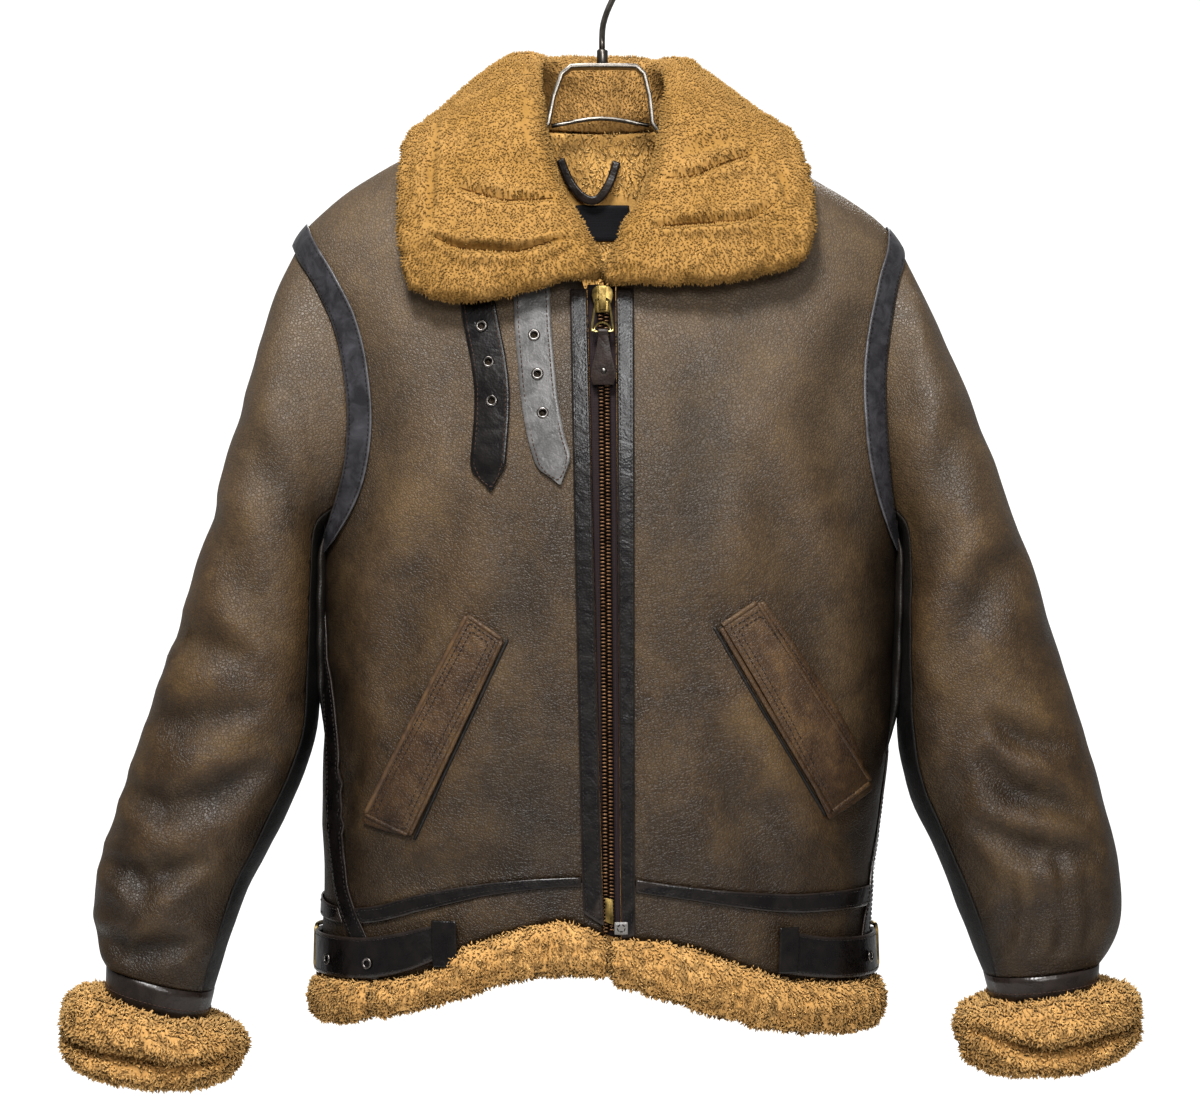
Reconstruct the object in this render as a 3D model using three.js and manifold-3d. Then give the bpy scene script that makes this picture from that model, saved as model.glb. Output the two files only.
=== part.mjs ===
// A sheepskin flying jacket that hangs on a bent steel hanger, in millimetres.
// X points to the wearer's left, Y to the back of the coat and Z up.
// The origin is the point inside the top of the hook where a rail bears.
import * as THREE from "three";
import { mergeVertices } from "three/addons/utils/BufferGeometryUtils.js";
import Module from "manifold-3d";

const wasm = await Module();
wasm.setup();

const RIGHT = -1;
const LEFT = 1;
const SIDES = [RIGHT, LEFT];
const sideName = (side) => (side === RIGHT ? "right" : "left");

// Driving sizes
const skin = 8; // leather with its short wool, as one wall
const seamGap = 0.3; // between two pieces at a seam
const restGap = 0.7; // between a piece and the panel it lies on
const fullness = 0.909; // 1 makes an elliptical ring, less a squarer one
const shoulderTip = -237;
const armpit = -448;
const zipTop = -270;
const waist = -719;
const hemEdge = -783;
const fleeceEdge = -817;
const neckPoint = -134.5;
const zipLean = 4; // how far the zip's foot stands to the wearer's left of its top
const zipHalf = { right: [12, 5], left: [9.3, 8.7] }; // from the zip to a front's edge, top and foot
const facingWidth = { right: [12.3, 14.2], left: [13, 10] }; // top and foot
const facingEnd = { right: -774, left: -781.5 };
const tapeThick = 1.4;
const tapeWidth = 21;
const waistTapeWidth = 15.5;
const sideTapeWidth = 17;
const strapThick = 2.4;
const collarThick = 16;

const radians = THREE.MathUtils.degToRad;
const degrees = THREE.MathUtils.radToDeg;
const mix = THREE.MathUtils.lerp;
const clamp = THREE.MathUtils.clamp;
const vec = (x, y, z) => new THREE.Vector3(x, y, z);
const spread = (from, to, count) =>
  Array.from({ length: count }, (_, i) => mix(from, to, i / (count - 1)));

// Rows of a table become objects with named columns, in the order of the first column.
function table(columns, rows) {
  const made = rows.map((row) => Object.fromEntries(columns.map((name, i) => [name, row[i]])));
  return made.sort((a, b) => a[columns[0]] - b[columns[0]]);
}

// Reads a column on a smooth curve through the rows, at a value of the key column.
function read(rows, key, column, at) {
  const last = rows.length - 1;
  const x = clamp(at, rows[0][key], rows[last][key]);
  let i = 0;
  while (i < last - 1 && x > rows[i + 1][key]) i += 1;
  const gap = (k) => rows[k + 1][key] - rows[k][key];
  const slope = (k) => (rows[k + 1][column] - rows[k][column]) / gap(k);
  const tangent = (k) => {
    if (k === 0) return slope(0);
    if (k === last) return slope(last - 1);
    return (slope(k - 1) * gap(k) + slope(k) * gap(k - 1)) / (gap(k - 1) + gap(k));
  };
  const h = gap(i);
  const t = (x - rows[i][key]) / h;
  return (
    (2 * t ** 3 - 3 * t ** 2 + 1) * rows[i][column] +
    (t ** 3 - 2 * t ** 2 + t) * h * tangent(i) +
    (3 * t ** 2 - 2 * t ** 3) * rows[i + 1][column] +
    (t ** 3 - t ** 2) * h * tangent(i + 1)
  );
}

// The body's rings: half width, sideways middle and the depth to the front and to the back
const bodyRings = table(
  ["level", "half", "middle", "front", "back"],
  [
    [-120, 52, 0, 44, 46],
    [-134, 73, 0, 47, 52],
    [-145, 92, -2, 48, 55],
    [-160, 122, -4, 50, 59],
    [-175, 150, -7, 53, 63],
    [-186, 166, -9, 56, 66],
    [-201, 190, -7.5, 61, 70],
    [-216, 210, -5, 66, 73],
    [-231, 223, -4, 71, 76],
    [-245, 229, -3, 75, 78],
    [-265, 228, -2, 80, 81],
    [-290, 225, 0, 85, 83],
    [-340, 220, 2, 91, 86],
    [-390, 215.3, 4, 95, 87],
    [-448, 213.6, 6, 96, 87],
    [-520, 213, 5.5, 95, 86],
    [-576, 211.5, 3.7, 95, 85],
    [-636, 208.5, -0.5, 96, 85],
    [-711, 204, -4.7, 97, 86],
    [-783, 205, -5, 98, 87],
    [-830, 206, -5, 98, 87],
  ],
);

// How far the waist seam, the hem and the foot of its fleece ride up above their levels, by the
// angle from the front
const rideUp = table(
  ["angle", "waist", "hem", "foot"],
  [
    [-180, 0, 22, 22],
    [-150, -3, 19, 19],
    [-120, -6, 6, 6],
    [-90, -8, 3, 3],
    [-73, -12, 6, 7],
    [-57, -11.5, 7, 10],
    [-47, -8, 8, 16],
    [-36, 2, 13, 23],
    [-31, 5, 19, 28],
    [-26, 9, 34, 33],
    [-21, 12, 41, 39],
    [-15, 15, 46, 45],
    [-2, 18, 54, 52],
    [2, 18, 42, 46],
    [8, 14, 43, 37],
    [14, 11, 38, 29],
    [26, 5, 26, 16],
    [31, 3, 17, 12],
    [36, 1, 12, 9],
    [60, 0, 4, 2],
    [90, 0, 2, 0],
    [120, 0, 5, 5],
    [150, 0, 19, 19],
    [180, 0, 22, 22],
  ],
);
const rideLines = ["waist", "hem", "foot"];
const rideShare = table(
  ["level", ...rideLines],
  [
    [-560, 0, 0, 0],
    [-640, 0.45, 0, 0],
    [-719, 1, 0, 0],
    [-735, 0.72, 0.28, 0],
    [-783, 0, 1, 0],
    [-817, 0, 0, 1],
    [-830, 0, 0, 1],
  ],
);

const wrap = (angle) => (angle > 180 ? angle - 360 : angle < -180 ? angle + 360 : angle);
const rounded = (value) => Math.sign(value) * Math.abs(value) ** fullness;

// A point of the body, by the angle from the middle of the front and the level of its ring.
function bodyPoint(angle, level) {
  const side = rounded(Math.sin(radians(angle)));
  const face = rounded(Math.cos(radians(angle)));
  const depth = read(bodyRings, "level", face > 0 ? "front" : "back", level);
  const half = read(bodyRings, "level", "half", level);
  const middle = read(bodyRings, "level", "middle", level);
  let z = level;
  if (level < -560)
    for (const line of rideLines)
      z += read(rideUp, "angle", line, wrap(angle)) * read(rideShare, "level", line, level);
  return vec(middle + half * side, -depth * face, z);
}

function bodyNormal(angle, level) {
  const step = 0.5;
  const around = bodyPoint(angle + step, level).sub(bodyPoint(angle - step, level));
  const down = bodyPoint(angle, level - step).sub(bodyPoint(angle, level + step));
  return down.cross(around).normalize();
}

const onBody = (angle, level, out) =>
  bodyPoint(angle, level).addScaledVector(bodyNormal(angle, level), out);

// Lengths round a ring from the middle of the front, a step for every two degrees
const arcStep = 2;
const arcCache = new Map();
function arcs(level) {
  const key = level.toFixed(2);
  if (!arcCache.has(key)) {
    const lengths = [0];
    for (let angle = arcStep; angle <= 180; angle += arcStep)
      lengths.push(
        lengths.at(-1) + bodyPoint(angle, level).distanceTo(bodyPoint(angle - arcStep, level)),
      );
    arcCache.set(key, lengths);
  }
  return arcCache.get(key);
}
function arcOf(angle, level) {
  const lengths = arcs(level);
  const place = Math.abs(angle) / arcStep;
  const i = Math.min(Math.floor(place), lengths.length - 2);
  return Math.sign(angle) * mix(lengths[i], lengths[i + 1], place - i);
}
function angleOf(arc, level) {
  const lengths = arcs(level);
  const length = Math.abs(arc);
  let i = 0;
  while (i < lengths.length - 2 && lengths[i + 1] < length) i += 1;
  const share = (length - lengths[i]) / (lengths[i + 1] - lengths[i]);
  return Math.sign(arc) * (i + share) * arcStep;
}
// A point of the body by its length round the ring from the middle of the front.
const alongBody = (arc, level, out) => onBody(angleOf(arc, level), level, out);

function angleAtX(x, level) {
  const half = read(bodyRings, "level", "half", level);
  const middle = read(bodyRings, "level", "middle", level);
  const share = clamp((x - middle) / half, -1, 1);
  return degrees(Math.asin(Math.sign(share) * Math.abs(share) ** (1 / fullness)));
}

// Signed distance from the body's surface, close to it, and the way out
function bodyField(point) {
  const half = read(bodyRings, "level", "half", point.z);
  const middle = read(bodyRings, "level", "middle", point.z);
  const depth = read(bodyRings, "level", point.y < 0 ? "front" : "back", point.z);
  const power = 2 / fullness;
  const sum = Math.abs((point.x - middle) / half) ** power + Math.abs(point.y / depth) ** power;
  return sum ** (1 / power) - 1;
}
// Moves a point square to the body until it is the given distance from its surface.
function settle(point, distance, onlyOut = false) {
  const step = 0.5;
  for (let pass = 0; pass < 6; pass += 1) {
    const here = bodyField(point);
    const slope = vec(
      bodyField(vec(point.x + step, point.y, point.z)) - here,
      bodyField(vec(point.x, point.y + step, point.z)) - here,
      bodyField(vec(point.x, point.y, point.z + step)) - here,
    ).divideScalar(step);
    const missing = distance - here / slope.length();
    if (onlyOut && missing <= 0) return point;
    point.addScaledVector(slope.normalize(), missing);
  }
  return point;
}

// Closed wall between two grids of points. Its borders are drawn in by half a seam.
function wall(rows, columns, outerAt, innerAt, { loop = false, trim = seamGap / 2 } = {}) {
  const grids = [outerAt, innerAt].map((at) =>
    Array.from({ length: rows }, (_, r) => Array.from({ length: columns }, (_, c) => at(r, c))),
  );
  const uncut = grids.flat(2);
  const drawIn = (point, inside) => {
    const way = inside.clone().sub(point);
    return point.clone().addScaledVector(way.normalize(), trim);
  };
  for (const grid of grids) {
    const firstRow = grid[0].map((p, c) => drawIn(p, grid[1][c]));
    const lastRow = grid[rows - 1].map((p, c) => drawIn(p, grid[rows - 2][c]));
    grid[0] = firstRow;
    grid[rows - 1] = lastRow;
    if (!loop)
      for (const row of grid) {
        const first = drawIn(row[0], row[1]);
        const last = drawIn(row[columns - 1], row[columns - 2]);
        row[0] = first;
        row[columns - 1] = last;
      }
  }
  const points = grids.flat(2);
  const at = (g, r, c) => g * rows * columns + r * columns + (c % columns);
  const faces = [];
  // A face with four corners is split along its shorter diagonal before its border is drawn
  // in, so that the faces of neighbours split alike.
  const quad = (a, b, c, d) => {
    if (uncut[a].distanceTo(uncut[c]) <= uncut[b].distanceTo(uncut[d]))
      faces.push(a, b, c, a, c, d);
    else faces.push(a, b, d, b, c, d);
  };
  const across = loop ? columns : columns - 1;
  for (let r = 0; r < rows - 1; r += 1)
    for (let c = 0; c < across; c += 1) {
      quad(at(0, r, c), at(0, r + 1, c), at(0, r + 1, c + 1), at(0, r, c + 1));
      quad(at(1, r, c), at(1, r, c + 1), at(1, r + 1, c + 1), at(1, r + 1, c));
    }
  for (let c = 0; c < across; c += 1) {
    quad(at(0, 0, c), at(0, 0, c + 1), at(1, 0, c + 1), at(1, 0, c));
    const r = rows - 1;
    quad(at(0, r, c + 1), at(0, r, c), at(1, r, c), at(1, r, c + 1));
  }
  if (!loop)
    for (let r = 0; r < rows - 1; r += 1) {
      quad(at(0, r + 1, 0), at(0, r, 0), at(1, r, 0), at(1, r + 1, 0));
      const c = columns - 1;
      quad(at(0, r, c), at(0, r + 1, c), at(1, r + 1, c), at(1, r, c));
    }
  return faceOut(points, faces);
}

// A ring with a closed profile: both ways of its grid close on themselves.
function hoop(profile, columns, at) {
  const points = profile.flatMap((row) =>
    Array.from({ length: columns }, (_, c) => at(row, (360 * c) / columns)),
  );
  const index = (r, c) => (r % profile.length) * columns + (c % columns);
  const faces = [];
  for (let r = 0; r < profile.length; r += 1)
    for (let c = 0; c < columns; c += 1) {
      const [a, b] = [index(r, c), index(r + 1, c)];
      const [d, e] = [index(r, c + 1), index(r + 1, c + 1)];
      faces.push(a, b, e, a, e, d);
    }
  return faceOut(points, faces);
}

function faceOut(points, faces) {
  let volume = 0;
  for (let i = 0; i < faces.length; i += 3) {
    const [a, b, c] = [points[faces[i]], points[faces[i + 1]], points[faces[i + 2]]];
    volume += a.dot(b.clone().cross(c));
  }
  if (volume < 0)
    for (let i = 0; i < faces.length; i += 3)
      [faces[i + 1], faces[i + 2]] = [faces[i + 2], faces[i + 1]];
  const geometry = new THREE.BufferGeometry().setFromPoints(points);
  geometry.setIndex(faces);
  return geometry;
}

// Leaves only positions, with shared corners merged.
function plain(geometry) {
  geometry.deleteAttribute("normal");
  geometry.deleteAttribute("uv");
  return mergeVertices(geometry, 1e-4);
}
function toSolid(geometry) {
  const merged = plain(geometry.clone());
  return new wasm.Manifold(
    new wasm.Mesh({
      numProp: 3,
      vertProperties: new Float32Array(merged.attributes.position.array),
      triVerts: new Uint32Array(merged.index.array),
    }),
  );
}
function toGeometry(solid) {
  const mesh = solid.getMesh();
  const geometry = new THREE.BufferGeometry();
  geometry.setAttribute("position", new THREE.BufferAttribute(mesh.vertProperties, 3));
  geometry.setIndex(new THREE.BufferAttribute(mesh.triVerts, 1));
  return geometry;
}

// Finishes: colour, roughness, metalness
const finishes = {
  hide: [0x4f4232, 0.55, 0],
  trim: [0x2b2724, 0.4, 0],
  fleece: [0xc8923f, 0.95, 0],
  zipCloth: [0x3a2a2c, 0.85, 0],
  zipMetal: [0x8a5a2f, 0.4, 0.9],
  brass: [0xb8a25a, 0.3, 1],
  steel: [0x9a948c, 0.35, 1],
  labelCloth: [0x17161a, 0.85, 0],
};
const coat = new THREE.Group();
function add(name, finish, geometry, parent = coat) {
  const [color, roughness, metalness] = finishes[finish];
  const material = new THREE.MeshStandardMaterial({ color, roughness, metalness });
  const mesh = new THREE.Mesh(geometry, material);
  mesh.name = name;
  parent.add(mesh);
  return mesh;
}

// Seam lines of the body
const neckline = table(
  ["level", "right", "left"],
  [
    [-134.5, 71, 71],
    [-160, 68, 68],
    [-190, 60, 60],
    [-220, 48, 48],
    [-245, 34, 34],
    [-262, 20, 19],
    [-270, 12, 9.3],
  ],
);
const backNeckDrop = 8.5; // from the neck point to the middle of the back neck
const sideSeam = table(
  ["level", "right", "left"],
  [
    [-448, 90, 90],
    [-504, 86, 93],
    [-547, 81, 95],
    [-621, 71, 94],
    [-685, 67.5, 90],
    [-716, 61.5, 84],
    [-742, 56, 78],
    [-783, 51, 73],
    [-830, 50, 72],
  ],
);
const armholeReach = { right: 31.5, left: 23.2, back: 25 }; // degrees in from the side
const armholeRound = 0.857;
const zipShare = (level) => (zipTop - level) / (zipTop - waist);
const zipMiddle = (level) => zipLean * zipShare(level);
const zipEdge = (side, level) => mix(...zipHalf[sideName(side)], zipShare(level));
const facingSpan = (side, level) => mix(...facingWidth[sideName(side)], zipShare(level));

// Round the armhole: 0 at the shoulder, 90 in front, 180 under the arm, 270 behind
function armholeAngle(side, turn) {
  const front = THREE.MathUtils.euclideanModulo(turn, 360) < 180;
  const reach = front ? armholeReach[sideName(side)] : armholeReach.back;
  const inward = reach * Math.abs(Math.sin(radians(turn))) ** armholeRound;
  return side * (front ? 90 - inward : 90 + inward);
}
const armholeLevel = (turn) => mix(shoulderTip, armpit, (1 - Math.cos(radians(turn))) / 2);
const armholeTurn = (level) =>
  degrees(Math.acos(clamp(1 - (2 * (level - shoulderTip)) / (armpit - shoulderTip), -1, 1)));
const armholePoint = (side, turn) => bodyPoint(armholeAngle(side, turn), armholeLevel(turn));

// Rings of the sleeves: the outer and the inner end of each, and how far forward and deep it is
const sleeveColumns = ["ring", "outerX", "outerZ", "innerX", "innerZ", "forward", "depth"];
const sleeveRings = {
  [RIGHT]: table(sleeveColumns, [
    [1, 248, -276, 210.6, -456, 0, 61],
    [2, 259, -318, 211.4, -474, 1, 63],
    [3, 270, -360, 211.8, -496, 2, 64],
    [4, 283, -408, 211.8, -522, 3, 63],
    [5, 297, -457, 211.6, -550, 4, 62],
    [6, 310, -500, 211.2, -580, 6, 60],
    [7, 325, -546, 213.3, -609, 8, 58],
    [8, 341, -589, 225, -636, 10, 57],
    [9, 353.5, -631, 240, -668, 12, 55],
    [10, 367.5, -669, 256, -698, 14, 54],
    [11, 376.3, -705, 268, -727, 16, 53],
    [12, 378.2, -735, 278, -753, 17, 51],
    [13, 374.3, -757, 285, -777, 18, 46],
    [14, 368.3, -768.5, 288.8, -789.5, 18, 42],
  ]),
  [LEFT]: table(sleeveColumns, [
    [1, 243, -279, 222.6, -456, 0, 61],
    [2, 262, -322, 223.2, -470, 1, 63],
    [3, 280, -366, 223.4, -489, 2, 64],
    [4, 297, -412, 221.8, -513, 3, 63],
    [5, 315, -458, 220.6, -542, 4, 62],
    [6, 328, -500, 218.8, -574, 6, 60],
    [7, 340, -540, 218.6, -606, 8, 58],
    [8, 352.5, -577, 224.3, -637, 10, 57],
    [9, 363, -616, 238, -667, 12, 55],
    [10, 374.8, -653, 250, -695, 14, 54],
    [11, 383.5, -690, 262, -722, 16, 53],
    [12, 387, -722, 271, -747, 17, 51],
    [13, 380, -752, 278.5, -767, 18, 46],
    [14, 368.3, -768.5, 282.8, -777.5, 18, 42],
  ]),
};
const cuffEnds = {
  [RIGHT]: { outerX: 368.8, outerZ: -789.5, innerX: 294, innerZ: -811, forward: 18, depth: 41 },
  [LEFT]: { outerX: 367, outerZ: -784, innerX: 288, innerZ: -796.5, forward: 18, depth: 41 },
};
const lastRing = 14;

// A point of a ring: 0 at its outer end, 90 in front, 180 at its inner end, 270 behind
function ringPoint(side, ring, turn, grow = 0) {
  const c = rounded(Math.cos(radians(turn)));
  const s = rounded(Math.sin(radians(turn)));
  const [halfX, halfZ] = [(ring.outerX - ring.innerX) / 2, (ring.outerZ - ring.innerZ) / 2];
  const larger = 1 + grow / Math.hypot(halfX, halfZ);
  return vec(
    side * ((ring.outerX + ring.innerX) / 2 + halfX * c * larger),
    -ring.forward - (ring.depth + grow) * s,
    (ring.outerZ + ring.innerZ) / 2 + halfZ * c * larger,
  );
}
function sleevePoint(side, turn, along) {
  const knot = (k) => {
    const ring = clamp(k, 0, lastRing);
    return ring === 0
      ? armholePoint(side, turn)
      : ringPoint(side, sleeveRings[side][ring - 1], turn);
  };
  const i = Math.min(Math.floor(along), lastRing - 1);
  const t = along - i;
  const [a, b, c, d] = [knot(i - 1), knot(i), knot(i + 1), knot(i + 2)];
  const leave = c.clone().sub(a).multiplyScalar(i === 0 ? 1 : 0.5);
  const arrive = d.clone().sub(b).multiplyScalar(i === lastRing - 1 ? 1 : 0.5);
  return vec(0, 0, 0)
    .addScaledVector(b, 2 * t ** 3 - 3 * t ** 2 + 1)
    .addScaledVector(leave, t ** 3 - 2 * t ** 2 + t)
    .addScaledVector(c, 3 * t ** 2 - 2 * t ** 3)
    .addScaledVector(arrive, t ** 3 - t ** 2);
}
function sleeveNormal(side, turn, along) {
  const [before, after] = [Math.max(along - 0.05, 0), Math.min(along + 0.05, lastRing)];
  const around = sleevePoint(side, turn + 2, along).sub(sleevePoint(side, turn - 2, along));
  const down = sleevePoint(side, turn, after).sub(sleevePoint(side, turn, before));
  return around.cross(down).multiplyScalar(side).normalize();
}
const wrapTurn = (turn) => (turn + 360) % 360;
// The inner edge that a body panel and a sleeve share at the armhole seam, mitred between them.
function armholeInner(side, turn) {
  const fromBody = bodyNormal(armholeAngle(side, wrapTurn(turn)), armholeLevel(turn));
  const fromSleeve = sleeveNormal(side, turn, 0.02);
  const both = fromBody.add(fromSleeve);
  const length = skin / clamp(both.length() / 2, 0.75, 1);
  return armholePoint(side, wrapTurn(turn)).addScaledVector(both.normalize(), -length);
}

// Body panels. Their rows meet the columns of the sleeves round the armhole.
const armholeTurns = [0, 16, 31, armholeTurn(zipTop), 64, 81, 98, 114, 131, 148, 164, 180];
const panelLevels = [
  ...spread(neckPoint, shoulderTip, 6),
  ...armholeTurns.slice(1).map(armholeLevel),
  ...spread(armpit, waist, 8).slice(1),
];
const inArmhole = (level) => level < shoulderTip + 0.01 && level > armpit - 0.01;
const frontShares = spread(0, 1, 9).map((share) => 1 - (1 - share) ** 1.3);
const backShares = spread(0, 1, 15).map((share) => share - Math.sin(2 * Math.PI * share) * 0.05);

function sideAngle(side, level, back) {
  if (level >= shoulderTip) return side * 90;
  if (level > armpit)
    return armholeAngle(side, back ? 360 - armholeTurn(level) : armholeTurn(level));
  return side * read(sideSeam, "level", sideName(side), level);
}
const besideZip = (side, level, out) => angleAtX(zipMiddle(level) + side * out, level);
function frontEdgeAngle(side, level) {
  if (level > zipTop)
    return angleAtX(side * read(neckline, "level", sideName(side), level), level);
  return besideZip(side, level, zipEdge(side, level));
}
// The three stretches of the body: where each begins and ends at a level
const stretches = {
  right: {
    from: (level) => frontEdgeAngle(RIGHT, level),
    to: (level) => sideAngle(RIGHT, level, false),
    shares: frontShares,
  },
  left: {
    from: (level) => frontEdgeAngle(LEFT, level),
    to: (level) => sideAngle(LEFT, level, false),
    shares: frontShares,
  },
  back: {
    from: (level) => sideAngle(LEFT, level, true),
    to: (level) => 360 + sideAngle(RIGHT, level, true),
    shares: backShares,
  },
};
function angleIn(stretch, level, share) {
  const [from, to] = [stretch.from(level), stretch.to(level)];
  if (stretch === stretches.back) return mix(from, to, share);
  return angleOf(mix(arcOf(from, level), arcOf(to, level), share), level);
}
const backNeckLevel = (angle) => neckPoint - backNeckDrop * Math.cos(radians(angle)) ** 2;

function panel(name) {
  const stretch = stretches[name];
  const last = stretch.shares.length - 1;
  const place = (r, c) => {
    const level = panelLevels[r];
    const angle = angleIn(stretch, level, stretch.shares[c]);
    return [angle, name === "back" && r === 0 ? backNeckLevel(angle) : level];
  };
  const outer = (r, c) => bodyPoint(...place(r, c));
  const inner = (r, c) => {
    const level = panelLevels[r];
    if (inArmhole(level) && name === "back" && (c === 0 || c === last))
      return armholeInner(c === 0 ? LEFT : RIGHT, 360 - armholeTurn(level));
    if (inArmhole(level) && name !== "back" && c === last)
      return armholeInner(name === "right" ? RIGHT : LEFT, armholeTurn(level));
    return onBody(...place(r, c), -skin);
  };
  return wall(panelLevels.length, last + 1, outer, inner);
}
for (const name of ["right", "left"]) add(`front_${name}`, "hide", panel(name));
add("back", "hide", panel("back"));

// A strip of the body along its levels. It has the columns of the panel under it, between
// its own two ends, and lies between two distances from the body's surface.
function strip(name, levels, outAt, inAt, ends = {}) {
  const stretch = stretches[name];
  const from = ends.from ?? stretch.from;
  const to = ends.to ?? stretch.to;
  const middle = levels[Math.floor(levels.length / 2)];
  const [low, high] = [from(middle), to(middle)].sort((a, b) => a - b);
  const kept = stretch.shares.filter((share) => {
    const angle = angleIn(stretch, middle, share);
    return angle > low + 1.2 && angle < high - 1.2;
  });
  const place = (r, c) => {
    const level = levels[r];
    if (c === 0) return [from(level), level];
    if (c === kept.length + 1) return [to(level), level];
    return [angleIn(stretch, level, kept[c - 1]), level];
  };
  return wall(
    levels.length,
    kept.length + 2,
    (r, c) => onBody(...place(r, c), outAt(r, c, kept.length + 1)),
    (r, c) => onBody(...place(r, c), inAt(r)),
  );
}

// Hem panels below the waist seam, and the fleece that turns out under them
const fleeceSection = [
  { level: hemEdge, out: 2.5, inside: -10 },
  { level: hemEdge - 5, out: 9, inside: -10 },
  { level: hemEdge - 14, out: 12, inside: -9.5 },
  { level: hemEdge - 23, out: 11, inside: -8 },
  { level: hemEdge - 30, out: 7.5, inside: -6 },
  { level: fleeceEdge, out: 2, inside: -2 },
];
const fleeceFrom = (side) => ({ from: (level) => angleAtX(zipMiddle(level) + side * 1.2, level) });
for (const name of Object.keys(stretches)) {
  const levels = fleeceSection.map((row) => row.level);
  const ends = name === "back" ? {} : fleeceFrom(name === "right" ? RIGHT : LEFT);
  add(`hem_panel_${name}`, "hide", strip(name, spread(waist, hemEdge, 3), () => 0, () => -skin));
  add(
    `hem_fleece_${name}`,
    "fleece",
    strip(name, levels, (r) => fleeceSection[r].out, (r) => fleeceSection[r].inside, ends),
  );
}

// Tapes over the waist seam and the side seams, and the facings beside the zip
const tapeTop = restGap + tapeThick;
const seamAngle = (side, level) => side * read(sideSeam, "level", sideName(side), level);
// An angle a given length of leather behind or ahead of the side seam
const besideSeam = (side, level, ahead) =>
  angleOf(arcOf(seamAngle(side, level), level) - side * ahead, level);
const halfSide = sideTapeWidth / 2;
{
  const levels = [waistTapeWidth / 2, 0, -waistTapeWidth / 2].map((up) => waist + up);
  const pastFacing = (side, level) =>
    besideZip(side, level, zipEdge(side, level) + facingSpan(side, level) + seamGap);
  const ends = {
    right: {
      from: (level) => pastFacing(RIGHT, level),
      to: (level) => besideSeam(RIGHT, level, halfSide + seamGap),
    },
    left: {
      from: (level) => pastFacing(LEFT, level),
      to: (level) => besideSeam(LEFT, level, halfSide + seamGap),
    },
    back: {
      from: (level) => besideSeam(LEFT, level, -halfSide - seamGap),
      to: (level) => 360 + besideSeam(RIGHT, level, -halfSide - seamGap),
    },
  };
  for (const name of Object.keys(stretches))
    add(
      `waist_tape_${name}`,
      "trim",
      strip(name, levels, () => tapeTop + 0.2, () => restGap + 0.2, ends[name]),
    );
}
// A narrow piece between two lines down the body
function upright(levels, columns, from, to, outAt, inside = restGap) {
  const place = (r, c) => [mix(from(levels[r]), to(levels[r]), c / (columns - 1)), levels[r]];
  return wall(
    levels.length,
    columns,
    (r, c) => onBody(...place(r, c), outAt(r, c)),
    (r, c) => onBody(...place(r, c), inside),
  );
}
for (const side of SIDES) {
  const name = sideName(side);
  add(
    `side_tape_${name}`,
    "trim",
    upright(
      spread(-500, hemEdge + 0.5, 14),
      4,
      (level) => besideSeam(side, level, -halfSide),
      (level) => besideSeam(side, level, halfSide),
      () => tapeTop,
    ),
  );
  add(
    `zip_facing_${name}`,
    "trim",
    upright(
      spread(zipTop - 6, facingEnd[name], 13),
      3,
      (level) => besideZip(side, level, zipEdge(side, level) - 0.4),
      (level) => besideZip(side, level, zipEdge(side, level) + facingSpan(side, level)),
      () => tapeTop,
    ),
  );
}

// A tape all round the body side of each armhole seam
const tapeRows = 3;
const tapeTurns = 40;
function armholeTape(side) {
  // Turns at even lengths along the seam
  const lengths = [0];
  for (let turn = 1; turn <= 360; turn += 1)
    lengths.push(lengths.at(-1) + armholePoint(side, turn).distanceTo(armholePoint(side, turn - 1)));
  const evenTurn = (share) => lengths.findIndex((length) => length >= share * lengths.at(-1) - 0.01);
  const turns = spread(0, 1, tapeTurns + 1).map(evenTurn);
  const at = (distance) => (r, c) => {
    const turn = turns[c];
    const here = armholePoint(side, turn);
    const way = armholePoint(side, turn + 3).sub(armholePoint(side, turn - 3));
    const normal = bodyNormal(armholeAngle(side, turn), armholeLevel(turn));
    const inward = way.cross(normal).normalize().multiplyScalar(side);
    // Under the arm the sleeve lies close, so there the tape starts further from the seam
    const under = Math.max(0, -Math.cos(radians(turn))) ** 5;
    const reach = mix(0.9 + 9 * under, tapeWidth, r / (tapeRows - 1));
    return settle(here.addScaledVector(inward, reach), distance + 0.7 * under);
  };
  return wall(tapeRows, tapeTurns, at(tapeTop + 0.25), at(restGap + 0.25), { loop: true, trim: 0 });
}
for (const side of SIDES) add(`armhole_tape_${sideName(side)}`, "trim", armholeTape(side));

// Sleeves, each of a top and an under piece
const topTurns = [...armholeTurns.slice(1, 9).map((turn) => -turn).reverse(), ...armholeTurns.slice(0, 10)];
const underTurns = [148, 164, 180, 196, 212, 229];
const sleeveRows = [0, 0.3, 0.8, 1.5, 2.4, 3.4, 4.5, 5.7, 6.9, 8.1, 9.2, 10.2, 11.1, 12, 13, 14];
function sleevePanel(side, turns) {
  const outer = (r, c) => sleevePoint(side, turns[c], sleeveRows[r]);
  const inner = (r, c) => {
    if (r === 0) return armholeInner(side, turns[c]);
    return outer(r, c).addScaledVector(sleeveNormal(side, turns[c], sleeveRows[r]), -skin);
  };
  return wall(sleeveRows.length, turns.length, outer, inner, { trim: 0.2 });
}
for (const side of SIDES) {
  add(`top_sleeve_${sideName(side)}`, "hide", sleevePanel(side, topTurns));
  add(`under_sleeve_${sideName(side)}`, "hide", sleevePanel(side, underTurns));
}

// Cuffs: a leather band, then fleece turned back in two rolls
const bandThick = 5;
const cuffSides = 20;
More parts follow.
